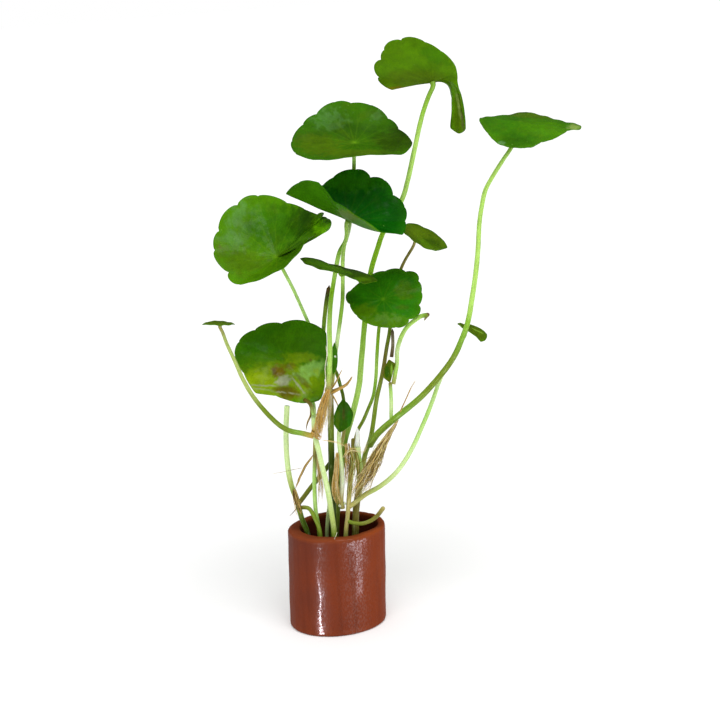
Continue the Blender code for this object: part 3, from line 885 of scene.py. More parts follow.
@dataclass(frozen=True)
class Blade:
    """A peltate leaf blade, held from below at its hub.

    The margin is given by the notches between its lobes, anticlockwise seen from the upper face.
    A fourth number at a notch is the crest of the lobe that starts there, as a share of its
    width. A waist is where the spoke to a numbered notch passes half-way, if not on its own bend.
    """

    FORK_START = 0.42
    FORK_SPREAD = 0.27
    TWIG_START = 0.74
    TWIG_SPREAD = 0.09
    LOBE_SHAPE = 0.6
    RINGS = 30
    THICKNESS = 0.36
    MARGIN_THICKNESS = 0.5
    SPOKE_WIDTH = 0.5
    SPOKES_LEAST = 6
    SPOKES_MOST = 16
    RIM_START = 0.75
    RIM_SHARE = 0.55
    STAR_REACH = 0.09
    STAR_SHARE = 0.8
    GROOVE_DEPTH = 0.04
    GROOVE_WIDTH = 0.45
    WAVE_LENGTH = 7.0
    CRINKLE = 0.07
    CRINKLE_LENGTH = 2.6
    RUFFLE = 0.10

    name: str
    hub: tuple
    margin: tuple
    crest: float = 0.14
    flatness: float = 0.5
    waists: tuple = ()
    slot: Slot = Slot.GREEN_BLADE
    upper: Hue = Hue.LEAF
    upper_rim: Hue = Hue.FRESH
    under: Hue = Hue.GRASS
    blots: tuple = ()
    wave: float = 0.22
    veined: float = 1.0

    def _notches(self) -> list:
        """Places of the notches in mm."""
        return [SIGHT.place(*spot[:3]) for spot in self.margin]

    def _lobe_spokes(self) -> int:
        """Counts the spokes that each lobe needs.

        Returns:
            An even number, so that one spoke runs down the lobe's middle.
        """
        notches = self._notches()
        ring = zip(notches, notches[1:] + notches[:1])
        around = sum((stop - start).length for start, stop in ring)
        wanted = 2 * round(around / len(notches) / self.SPOKE_WIDTH / 2.0)
        return max(self.SPOKES_LEAST, min(self.SPOKES_MOST, wanted))

    def spokes(self, per_lobe: int) -> list:
        """Half-way point and margin point of every spoke.

        Args:
            per_lobe: how many spokes there are on every lobe.

        Returns:
            Pairs of points in mm.
        """
        hub = SIGHT.place(*self.hub)
        notches = self._notches()
        pairs = list(zip(notches, notches[1:] + notches[:1]))
        normal = sum(((start - hub).cross(stop - hub) for start, stop in pairs), Vector()).normalized()
        own = dict(self.waists)
        waists = []
        for index, notch in enumerate(notches):
            rise = normal * (notch - hub).dot(normal)
            level = hub + (notch - hub - rise) * 0.5 + rise * (1.0 + self.flatness) / 4.0
            waists.append(SIGHT.place(*own[index]) if index in own else level)
        spokes = []
        for index, (start, stop) in enumerate(pairs):
            spot = self.margin[index]
            crest = spot[3] if len(spot) > 3 else self.crest
            swell = ((start + stop) * 0.5 - hub).normalized() * crest * (stop - start).length
            after = waists[(index + 1) % len(waists)]
            for step in range(per_lobe):
                t = step / per_lobe
                bulge = swell * math.sin(math.pi * t) ** self.LOBE_SHAPE
                spokes.append((waists[index].lerp(after, t) + bulge / 2.0, start.lerp(stop, t) + bulge))
        return spokes

    @staticmethod
    def _on_spoke(hub: Vector, waist: Vector, rim: Vector, reach: float) -> Vector:
        """Point of a spoke, a share of the way from its hub to its rim."""
        knee = waist * 2.0 - (hub + rim) / 2.0
        return hub * (1.0 - reach) ** 2 + knee * 2.0 * reach * (1.0 - reach) + rim * reach ** 2

    def socket(self) -> tuple:
        """Where the stalk meets the blade.

        Returns:
            The hub, the upward direction there, and how steeply the blade droops from it.
        """
        hub = SIGHT.place(*self.hub)
        starts = [self._on_spoke(hub, *spoke, 1.0 / 3.0) - hub for spoke in self.spokes(3)]
        pairs = zip(starts, starts[1:] + starts[:1])
        upward = sum((start.cross(stop) for start, stop in pairs), Vector()).normalized()
        slopes = [-start.dot(upward) / (start - upward * start.dot(upward)).length for start in starts]
        return hub, upward, max(0.0, *slopes)

    def _disc(self, spokes: int) -> bpy.types.Object:
        """Models a flat disc of even rings.

        Args:
            spokes: how many spokes it has.

        Returns:
            The disc, with its middle at the origin.
        """
        Bench.clear()
        bpy.ops.mesh.primitive_circle_add(vertices=spokes, radius=1.0, fill_type="TRIFAN")
        disc = bpy.context.object
        bpy.ops.object.mode_set(mode="EDIT")
        bpy.ops.mesh.select_all(action="SELECT")
        bpy.ops.mesh.region_to_loop()
        for ring in range(1, self.RINGS):
            bpy.ops.mesh.extrude_region_move()
            grow = (ring + 1.0) / ring
            bpy.ops.transform.resize(value=(grow, grow, grow), center_override=(0.0, 0.0, 0.0))
        bpy.ops.object.mode_set(mode="OBJECT")
        bpy.ops.object.shade_smooth()
        return disc

    def _thin_margin(self, piece: bpy.types.Object, reach: np.ndarray) -> None:
        """Weights that thin the blade towards its margin.

        Args:
            piece: the blade.
            reach: share of the way from hub to margin, for each vertex.
        """
        group = piece.vertex_groups.new(name="body")
        for ring in range(self.RINGS + 1):
            share = ring / self.RINGS
            weight = 1.0 - (1.0 - self.MARGIN_THICKNESS) * share ** 6
            chosen = np.nonzero(np.rint(reach * self.RINGS) == ring)[0]
            group.add([int(index) for index in chosen], weight, "REPLACE")

    def _vein_distance(self, reach: np.ndarray, lane: np.ndarray, span: np.ndarray) -> np.ndarray:
        """Distance to the nearest vein.

        Args:
            reach: share of the way from hub to margin.
            lane: share of a lobe's width from its middle.
            span: the lobe's width there, in mm.

        Returns:
            The distances in mm.
        """
        fork = np.clip((reach - self.FORK_START) / (1.0 - self.FORK_START), 0.0, 1.0) * self.FORK_SPREAD
        twig = np.clip((reach - self.TWIG_START) / (1.0 - self.TWIG_START), 0.0, 1.0) * self.TWIG_SPREAD
        return np.abs(np.abs(lane - fork) - twig) * span

    def _colours(self, points: np.ndarray, reach: np.ndarray, on_top: np.ndarray) -> np.ndarray:
        """Colour of every vertex.

        Args:
            points: vertex places in mm.
            reach: share of the way from hub to margin.
            on_top: 1 on the upper face, 0 on the lower.

        Returns:
            One row of light amounts for each vertex.
        """
        top = np.array(self.upper.linear)
        rim = np.array(self.upper_rim.linear)
        below = np.array(self.under.linear)
        edge = (np.clip((reach - self.RIM_START) / (1.0 - self.RIM_START), 0.0, 1.0) ** 2)[:, None]
        near = np.clip(1.0 - reach / self.STAR_REACH, 0.0, 1.0)
        star = (near ** 1.5 * self.STAR_SHARE * self.veined)[:, None]
        upper = top * (1.0 - self.RIM_SHARE * edge) + rim * self.RIM_SHARE * edge
        upper = upper * (1.0 - star) + np.array(Hue.HUB.linear) * star
        lower = below * (1.0 - star) + np.array(Hue.LIME.linear) * star
        side = on_top[:, None]
        colours = upper * side + lower * (1.0 - side)
        seen = SIGHT.picture(points)
        rough = Bench.ripple(points, 1.6, 3.0) + 0.6 * Bench.ripple(points, 0.7, 4.0)
        for blot in self.blots:
            share = blot.share(seen, rough)
            if blot.face is Face.UPPER:
                share = share * on_top
            elif blot.face is Face.UNDER:
                share = share * (1.0 - on_top)
            colours = colours * (1.0 - share[:, None]) + np.array(blot.hue.linear) * share[:, None]
        return colours

    def build(self) -> bpy.types.Object:
        """Models the blade.

        Returns:
            The piece, with what its skin reads.
        """
        per_lobe = self._lobe_spokes()
        spokes = self.spokes(per_lobe)
        piece = self._disc(len(spokes))
        flat = Bench.points(piece)
        reach = np.hypot(flat[:, 0], flat[:, 1]) / self.RINGS
        turn = np.arctan2(-flat[:, 0], flat[:, 1]) % (2.0 * math.pi)
        number = np.rint(turn / (2.0 * math.pi) * len(spokes)).astype(int) % len(spokes)
        hub = np.array(SIGHT.place(*self.hub))
        waist = np.array([tuple(spoke[0]) for spoke in spokes])[number]
        rim = np.array([tuple(spoke[1]) for spoke in spokes])[number]
        knee = waist * 2.0 - (hub + rim) / 2.0
        share = reach[:, None]
        points = hub * (1.0 - share) ** 2 + knee * 2.0 * share * (1.0 - share) + rim * share ** 2
        lane = np.abs((number % per_lobe) / per_lobe - 0.5)
        lobes = number // per_lobe
        rims = np.array([tuple(spoke[1]) for spoke in spokes])
        widths = np.linalg.norm(rims[::per_lobe] - np.roll(rims[::per_lobe], -1, axis=0), axis=1)
        span = widths[lobes] * reach
        Bench.move(piece, points)
        normal = Bench.normals(piece)
        apart = self._vein_distance(reach, lane, span)
        inner = np.clip(reach / 0.12, 0.0, 1.0) * (1.0 - reach ** 8)
        lift = -self.GROOVE_DEPTH * self.veined * np.exp(-(apart / self.GROOVE_WIDTH) ** 2) * inner
        lift += self.wave * inner * Bench.ripple(points, self.WAVE_LENGTH, 1.0)
        lift += self.CRINKLE * Bench.ripple(points, self.CRINKLE_LENGTH, 2.0)
        lift += self.RUFFLE * np.cos(2.0 * math.pi * lane) * reach ** 3
        points = points + normal * lift[:, None]
        Bench.move(piece, points * MM)
        self._thin_margin(piece, reach)
        wall = piece.modifiers.new("thickness", "SOLIDIFY")
        wall.thickness = self.THICKNESS * MM
        wall.offset = 0.0
        wall.vertex_group = "body"
        Bench.pick(piece)
        bpy.ops.object.modifier_apply(modifier=wall.name)
        piece.vertex_groups.clear()
        count = len(reach)
        shell = Bench.points(piece) / MM
        outside = ((shell[:count] - shell[count:]) * normal).sum() > 0.0
        on_top = np.concatenate((np.full(count, float(outside)), np.full(count, float(not outside))))
        both = np.concatenate((reach, reach))
        Bench.write(piece, "reach", both)
        Bench.write(piece, "lane", np.concatenate((lane, lane)))
        Bench.write(piece, "span", np.concatenate((span, span)))
        Bench.write(piece, "upper", on_top)
        Bench.write(piece, "veined", np.full(len(shell), self.veined))
        Bench.paint(piece, self._colours(shell, both, on_top))
        return piece


class Route:
    """A smooth line through points in mm."""

    FINE_STEPS = 14

    def __init__(self, points: list, step: float) -> None:
        """Lays the line and marks it off in even steps.

        Args:
            points: the points that it passes.
            step: the longest step, in mm.
        """
        fine = self._fine(points)
        lengths = self.marks(fine)
        self.length = float(lengths[-1])
        count = max(3, math.ceil(self.length / step) + 1)
        marks = np.linspace(0.0, self.length, count)
        self.centres = np.stack([np.interp(marks, lengths, fine[:, axis]) for axis in range(3)], axis=1)

    @staticmethod
    def marks(centres: np.ndarray) -> np.ndarray:
        """Distance along a line of each of its points."""
        return np.concatenate(((0.0,), np.cumsum(np.linalg.norm(np.diff(centres, axis=0), axis=1))))

    @staticmethod
    def _speed(before: Vector, spot: Vector, after: Vector) -> tuple:
        """Direction of a curve at the middle one of three points.

        Args:
            before: the point before it.
            spot: the point.
            after: the point after it.

        Returns:
            The direction, and how much parameter runs to the next point.
        """
        lead = math.sqrt((spot - before).length)
        trail = math.sqrt((after - spot).length)
        slope = (spot - before) / lead - (after - before) / (lead + trail) + (after - spot) / trail
        return slope, trail

    def _fine(self, points: list) -> np.ndarray:
        """Lays a smooth curve.

        Args:
            points: the points that it passes.

        Returns:
            Closely spaced points on it.
        """
        ends = [points[0] * 2 - points[1]] + points + [points[-1] * 2 - points[-2]]
        fine = []
        for before, start, stop, after in zip(ends, ends[1:], ends[2:], ends[3:]):
            leaving, span = self._speed(before, start, stop)
            arriving, _ = self._speed(start, stop, after)
            for index in range(self.FINE_STEPS):
                t = index / self.FINE_STEPS
                spot = start * (2 * t ** 3 - 3 * t ** 2 + 1) + stop * (3 * t ** 2 - 2 * t ** 3)
                spot += leaving * span * (t ** 3 - 2 * t ** 2 + t) + arriving * span * (t ** 3 - t ** 2)
                fine.append(tuple(spot))
        fine.append(tuple(points[-1]))
        return np.array(fine)

    @staticmethod
    def frames(centres: np.ndarray) -> tuple:
        """Directions across a line that turn with it and don't twist.

        Args:
            centres: points along the line.

        Returns:
            Two arrays of unit directions.
        """
        heading = np.gradient(centres, axis=0)
        heading /= np.linalg.norm(heading, axis=1)[:, None] + 1e-12
        side = np.cross(heading[0], (0.0, 1.0, 0.0))
        if np.linalg.norm(side) < 0.1:
            side = np.cross(heading[0], (1.0, 0.0, 0.0))
        sides = []
        for direction in heading:
            side = side - direction * side.dot(direction)
            side = side / np.linalg.norm(side)
            sides.append(side)
        sides = np.array(sides)
        return sides, np.cross(heading, sides)


class End(Enum):
    """How a stem ends: the radius and the push outwards of each row, as shares of the radius."""

    ROUND = ((1.0, 0.0), (0.93, 0.35), (0.75, 0.68), (0.42, 0.92), (0.0, 1.0))
    CUT = ((1.0, 0.0), (0.97, 0.06), (0.9, 0.1), (0.5, 0.06), (0.0, 0.0))
    TORN = ((1.0, 0.0), (0.9, 0.5), (0.6, 0.9), (0.35, 1.6), (0.0, 2.2))


def shades(listed: str) -> tuple:
    """Reads the hues along a stem.

    Args:
        listed: a share of the way down and the name of the hue there, in turn.

    Returns:
        Pairs of a share and a hue.
    """
    words = listed.split()
    return tuple((float(share), Hue[name]) for share, name in zip(words[::2], words[1::2]))


@dataclass(frozen=True)
class Stem:
    """A round stem or leaf stalk along a route from its upper end to its lower end."""

    SIDES = 14
    STEP = 0.9
    NECK_LENGTH = 0.8
    TOP_BELOW_HUB = 0.22
    FLARE = 0.3
    FLARE_LENGTH = 0.9
    HUE_WANDER = 0.02
    LEAST_STEP = 0.02
    CONSTRUCTION_CLEARANCE = 0.525
    # The next three numbers set the painted shade inside the ring's mouth: where it starts, how far it
    # fades in, how dark it gets.
    PAINTED_SHADE_TOP = 33.0
    PAINTED_SHADE_FADE = 8.0
    PAINTED_SHADE_STRENGTH = 0.72

    name: str
    top_diameter: float
    foot_diameter: float
    route: tuple
    slot: Slot = Slot.STALK
    carries: str = ""
    hues: tuple = ((0.0, Hue.PALE_LIME), (1.0, Hue.STEM_OLIVE))
    swellings: tuple = ()
    top_end: End = End.ROUND
    foot_end: End = End.CUT
    lumps: float = 0.05
    stands_for: Optional[tuple] = None

    def _centres(self, blades: dict) -> np.ndarray:
        """Lays the middle of the stem.

        Args:
            blades: every blade by its name.

        Returns:
            Points in mm from its upper end to its lower end.
        """
        points = [SIGHT.place(*spot) for spot in self.route]
        if self.carries:
            hub, upward, droop = blades[self.carries].socket()
            sink = self.top_diameter / 2.0 * droop
            top = hub - upward * (self.TOP_BELOW_HUB + sink)
            neck = hub - upward * (self.CONSTRUCTION_CLEARANCE + sink + self.NECK_LENGTH)
            points = [top, neck] + points
        return Route(points, self.STEP).centres

    @staticmethod
    def _capped(centres: np.ndarray, radii: np.ndarray, end: End) -> tuple:
        """Adds the rows that close the end that comes last.

        Args:
            centres: the rows' middles.
            radii: their radii.
            end: how the end is shaped.

        Returns:
            The longer arrays of middles and radii.
        """
        outward = centres[-1] - centres[-2]
        outward = outward / np.linalg.norm(outward)
        rows = [centres[-1] + outward * radii[-1] * push for _, push in end.value[1:]]
        shares = [radii[-1] * share for share, _ in end.value[1:]]
        return np.vstack((centres, rows)), np.concatenate((radii, shares))

    def build(self, blades: dict) -> bpy.types.Object:
        """Models the stem.

        Args:
            blades: every blade by its name.

        Returns:
            The piece, with what its skin reads.
        """
        centres = self._centres(blades)
        along = np.linspace(0.0, 1.0, len(centres))
        radii = (self.top_diameter + (self.foot_diameter - self.top_diameter) * along) / 2.0
        for spot, gain, width in self.swellings:
            radii = radii * (1.0 + gain * np.exp(-((along - spot) / width) ** 2))
        if self.carries:
            flare = np.exp(-along * len(along) * self.STEP / self.FLARE_LENGTH)
            radii = radii * (1.0 + self.FLARE * flare)
        centres, radii = self._capped(centres, radii, self.foot_end)
        top_end = End.CUT if self.carries else self.top_end
        centres, radii = self._capped(centres[::-1], radii[::-1], top_end)
        rows = centres[::-1]
        piece, points, along = Bench.tube(self.SIDES, rows, radii[::-1], self._spread(rows), self.lumps)
        Bench.paint(piece, self._colours(points, along))
        return piece

    def _spread(self, centres: np.ndarray) -> np.ndarray:
        """Moves rows apart where they coincide, so that each has a heading.

        Args:
            centres: the rows' middles.

        Returns:
            The moved middles.
        """
        step = np.diff(centres, axis=0)
        usual = step[len(step) // 2]
        length = np.linalg.norm(step, axis=1)
        moved = centres.copy()
        for index in np.nonzero(length < self.LEAST_STEP)[0]:
            near = step[index - 1] if index > len(step) // 2 else usual
            moved[index + 1:] += near * 0.01
        return moved

    def _colours(self, points: np.ndarray, along: np.ndarray) -> np.ndarray:
        """Colour of every vertex.

        Args:
            points: vertex places in mm.
            along: share of the way down the stem.

        Returns:
            One row of light amounts for each vertex.
        """
        spots = [spot for spot, _ in self.hues]
        lights = np.array([hue.linear for _, hue in self.hues])
        wander = along + self.HUE_WANDER * Bench.ripple(points, 6.0, 8.0)
        unshaded = np.stack([np.interp(wander, spots, lights[:, band]) for band in range(3)], axis=1)
        # Near and below the ring's rim the colour is darkened: painted shade of the ring's mouth.
        in_painted_shade = np.clip((self.PAINTED_SHADE_TOP - points[:, 2]) / self.PAINTED_SHADE_FADE, 0.0, 1.0)[:, None]
        return unshaded * (1.0 - self.PAINTED_SHADE_STRENGTH * in_painted_shade)


@dataclass(frozen=True)
class Tuft:
    """A tuft of fine roots along a route from where it starts to its tip."""

    SIDES = 5
    LEVELS = 26
    SPINE_STEP = 0.6
    TAPER = 0.65
    KINK = 0.18
    STRAY_REACH = 2.2

    name: str
    route: tuple
    strands: int
    spread: tuple
    thickness: tuple = (0.10, 0.26)
    reach: tuple = (0.45, 1.0)
    wander: float = 0.7
    hues: tuple = (Hue.ROOT_TAN, Hue.ROOT_ORANGE, Hue.ROOT_DARK)
    strays: float = 0.15
    stands_for: tuple = ()

    def _strand(self, dice: random.Random, spine: np.ndarray) -> bpy.types.Object:
        """Models one root.

        Args:
            dice: the tuft's random numbers.
            spine: points along the tuft's middle, in mm.

        Returns:
            The root.
        """
        along = np.linspace(0.0, 1.0, self.LEVELS)
        start = dice.uniform(0.0, 0.25) ** 1.5
        stop = start + (1.0 - start) * dice.uniform(*self.reach)
        marks = (start + (stop - start) * along) * (len(spine) - 1)
        rows = range(len(spine))
        centres = np.stack([np.interp(marks, rows, spine[:, axis]) for axis in range(3)], axis=1)
        side, over = Route.frames(spine)
        nearest = np.rint(marks).astype(int)
        stray = dice.random() < self.strays
        angle = dice.uniform(0.0, 2.0 * math.pi)
        turn = angle + dice.uniform(-1.2, 1.2) * along
        width = np.interp(marks / (len(spine) - 1), np.linspace(0.0, 1.0, len(self.spread)), self.spread)
        off = width * math.sqrt(dice.random()) * (self.STRAY_REACH if stray else 1.0)
        if stray:
            off = off * along ** 1.5
        centres = centres + side[nearest] * (np.cos(turn) * off)[:, None]
        centres = centres + over[nearest] * (np.sin(turn) * off)[:, None]
        seed = dice.uniform(0.0, 90.0)
        sway = np.stack([Bench.ripple(centres, 4.5, seed + axis) for axis in range(3)], axis=1)
        kink = np.stack([Bench.ripple(centres, 1.3, seed + 5.0 + axis) for axis in range(3)], axis=1)
        centres = centres + (sway * self.wander + kink * self.KINK * self.wander) * np.sqrt(along)[:, None]
        thick = dice.uniform(*self.thickness)
        radii = thick / 2.0 * (1.0 - self.TAPER * along ** 1.5)
        radii[0] = 0.0
        radii[-1] = 0.0
        piece, points, _ = Bench.tube(self.SIDES, centres, radii, centres)
        Bench.paint(piece, np.tile(np.array(dice.choice(self.hues).linear), (len(points), 1)))
        return piece

    def build(self) -> bpy.types.Object:
        """Models the tuft."""
        dice = random.Random(self.name)
        spine = Route([SIGHT.place(*spot) for spot in self.route], self.SPINE_STEP).centres
        strands = [self._strand(dice, spine) for _ in range(self.strands)]
        return Bench.join(strands)


@dataclass(frozen=True)
class ClayRing:
    """The short clay pipe that holds the bunch."""

    outer_radius: float = 15.6
    bore_radius: float = 12.6
    wall_shift: tuple = (0.6, 0.0)
    bore_shift: tuple = (1.4, 0.7)
    height: float = 32.0
    lean: float = 2.0
    edge: float = 0.9
    inner_edge_share: float = 0.6
    rubbed_bands: tuple = ((-19.0, 8.0), (23.0, 16.0))
    columns: int = 260
    rows: int = 46

    def _profile(self) -> np.ndarray:
        """Draws the wall's section.

        Returns:
            Rows of (radius, height), from the foot up the wall, over the lip and down the bore.
        """
        outer, bore, top, edge = self.outer_radius, self.bore_radius, self.height, self.edge
        bend = [math.radians(angle) for angle in range(0, 91, 15)]
        foot = [(outer - edge + edge * math.sin(a), edge - edge * math.cos(a)) for a in bend]
        wall = [(outer, z) for z in np.linspace(edge, top - edge, self.rows)[1:-1]]
        lip = [(outer - edge + edge * math.cos(a), top - edge + edge * math.sin(a)) for a in bend]
        inner_edge = self.inner_edge_share * edge
        inner = [(bore + inner_edge - inner_edge * math.sin(a),
                  top - inner_edge + inner_edge * math.cos(a)) for a in bend]
        bore_wall = [(bore, z) for z in np.linspace(top - inner_edge, 0.0, self.rows)[1:]]
        return np.array(foot + wall + lip + inner + bore_wall)

    def build(self) -> bpy.types.Object:
        """Models the ring by spinning its wall's section.

        Returns:
            The piece, with what its skin reads.
        """
        profile = self._profile()
        Bench.clear()
        bpy.ops.mesh.primitive_circle_add(vertices=len(profile), radius=1.0, fill_type="NOTHING")
        piece = bpy.context.object
        section = np.stack((profile[:, 0], np.zeros(len(profile)), profile[:, 1]), axis=1)
        Bench.move(piece, section)
        bpy.ops.object.mode_set(mode="EDIT")
        bpy.ops.mesh.select_all(action="SELECT")
        bpy.ops.mesh.spin(steps=self.columns, angle=2.0 * math.pi, center=(0.0, 0.0, 0.0),
                          axis=(0.0, 0.0, 1.0))
        bpy.ops.mesh.select_all(action="SELECT")
        bpy.ops.mesh.remove_doubles(threshold=Bench.WELD)
        bpy.ops.mesh.normals_make_consistent(inside=False)
        bpy.ops.object.mode_set(mode="OBJECT")
        bpy.ops.object.shade_smooth()
        self._weather(piece)
        return piece

    def _weather(self, piece: bpy.types.Object) -> None:
        """Gives the ring its unevenness, its lean and what its skin reads.

        Args:
            piece: the ring as it was spun.
        """
        points = Bench.points(piece)
        radius = np.hypot(points[:, 0], points[:, 1])
        level = points[:, 2] / self.height
        middle = (self.outer_radius + self.bore_radius) / 2.0
        inside = np.clip((middle - radius) / 1.2 + 0.5, 0.0, 1.0)
        lip = np.clip((points[:, 2] - self.height + 1.6) / 1.2, 0.0, 1.0)
        outward = points * (1.0, 1.0, 0.0) / radius[:, None]
        drawn = points * (1.0, 1.0, 0.05)
        dents = 0.16 * Bench.ripple(points, 9.0, 1.0) + 0.10 * Bench.ripple(drawn, 2.4, 2.0)
        dents += 0.05 * Bench.ripple(drawn, 0.9, 3.0) + 0.03 * Bench.ripple(points, 0.8, 4.0)
        points = points + outward * dents[:, None]
        share = inside[:, None]
        points[:, :2] += np.array(self.wall_shift) * (1.0 - share) + np.array(self.bore_shift) * share
        crown = np.clip(level * 2.0 - 1.0, 0.0, 1.0) ** 2
        wavy = 0.22 * Bench.ripple(points, 8.0, 6.0) + 0.10 * Bench.ripple(points, 2.0, 7.0)
        points[:, 2] += crown * wavy
        points[:, 0] += self.lean * level
        points += np.array(SIGHT.ring_place)
        Bench.move(piece, points * MM)
        Bench.write(piece, "inside", inside)
        Bench.write(piece, "lip", lip)
        Bench.write(piece, "height", level)
        bearing = np.degrees(np.arctan2(outward[:, 0], -outward[:, 1]))
        rubbed = sum(np.exp(-((bearing - middle) / width) ** 2) for middle, width in self.rubbed_bands)
        Bench.write(piece, "rubbed", rubbed)
        # The number below falls towards the left side, which is painted shade on the side away from the
        # light, and towards the top third.
        upper_third = np.clip(level * 3.0 - 2.0, 0.0, 1.0)
        Bench.write(piece, "warmth", 0.62 + 0.4 * outward[:, 0] - 0.25 * upper_third)


@dataclass(frozen=True)
class Studio:
    """A pale floor and soft light from above, with low strips of light for the ring to mirror."""

    floor_size: float = 30.0
    floor_level: float = 0.86
    floor_glow: float = 0.16
    sky_level: float = 0.62
    mirrored_sky: float = 0.10
    sun_strength: float = 1.75
    sun_softness: float = 40.0
    sun_lean: tuple = (27.0, 8.0)
    strip_light: tuple = (0.94, 0.90, 1.0)
    strip_height: float = 0.5
    strips: tuple = (
        ("left_glint", (-18.5, 16.5), (-39.0, 94.5), 2.0, 0.03),
        ("right_glint", (46.0, 43.0), (51.0, 86.0), 8.0, 0.006),
        ("upper_glint", (44.0, 80.0), (44.0, 108.0), 90.0, 0.06),
    )

    def build(self) -> None:
        """Sets up the floor, the sky and the lamps."""
        self._floor()
        self._sky()
        self._sun()
        for strip in self.strips:
            self._strip(*strip)
        bpy.context.scene.view_settings.view_transform = "Standard"
        SIGHT.add_camera()

    def _floor(self) -> None:
        """Adds the pale floor."""
        Bench.clear()
        bpy.ops.mesh.primitive_plane_add(size=self.floor_size)
        floor = bpy.context.object
        floor.name = "studio_floor"
        finish = Finish("floor_paint")
        level = self.floor_level
        finish.feed(finish.shader.inputs["Base Color"], (level, level, level))
        finish.feed(finish.shader.inputs["Roughness"], 0.9)
        finish.feed(finish.shader.inputs["Specular IOR Level"], 0.0)
        finish.feed(finish.shader.inputs["Emission Color"], (1.0, 1.0, 1.0))
        finish.feed(finish.shader.inputs["Emission Strength"], self.floor_glow)
        floor.data.materials.append(finish.material)

    def _sky(self) -> None:
        """White behind the object, grey as a light and dim in reflections."""
        world = bpy.data.worlds.new("studio_sky")
        world.use_nodes = True
        bpy.context.scene.world = world
        tree = Tree(world.node_tree)
        rays = tree.node("ShaderNodeLightPath")
        seen = rays["Is Camera Ray"]
        mirrored = rays["Is Glossy Ray"]
        lit = self.sky_level - mirrored * (self.sky_level - self.mirrored_sky)
        strength = lit + seen * (1.0 - lit)
        background = world.node_tree.nodes["Background"]
        tree.feed(background.inputs["Color"], (1.0, 1.0, 1.0))
        tree.feed(background.inputs["Strength"], strength)

    def _sun(self) -> None:
        """Adds the soft light from above, which leans to the front and to the left."""
        lean = [math.radians(angle) for angle in self.sun_lean]
        bpy.ops.object.light_add(type="SUN", rotation=(*lean, 0.0))
        sun = bpy.context.object
        sun.name = "overhead_light"
        sun.data.energy = self.sun_strength
        sun.data.angle = math.radians(self.sun_softness)

    def _strip(self, name: str, near: tuple, far: tuple, width: float, power: float) -> None:
        """Adds a strip of light on the floor that shows only where the ring mirrors it.

        Args:
            name: its name.
            near: bearing of its near end from the ring's axis, in degrees to the right of the
                camera's side, and its distance in mm.
            far: the same for its far end.
            width: its width in mm.
            power: its power in watts.
        """
        ends = [Vector((math.sin(math.radians(turn)), -math.cos(math.radians(turn)), 0.0)) * distance
                for turn, distance in (near, far)]
        raised = Vector((0.0, 0.0, self.strip_height))
        run = ends[1] - ends[0]
        angle = math.atan2(run.x, -run.y)
        place = Vector(SIGHT.ring_place) + (ends[0] + ends[1]) / 2.0 + raised
        bpy.ops.object.light_add(type="AREA", location=place * MM, rotation=(math.pi, 0.0, angle))
        lamp = bpy.context.object
        lamp.name = name
        lamp.data.shape = "RECTANGLE"
        lamp.data.size = width * MM
        lamp.data.size_y = run.length * MM
        lamp.data.energy = power
        lamp.data.color = self.strip_light
        lamp.visible_diffuse = False
        lamp.visible_camera = False


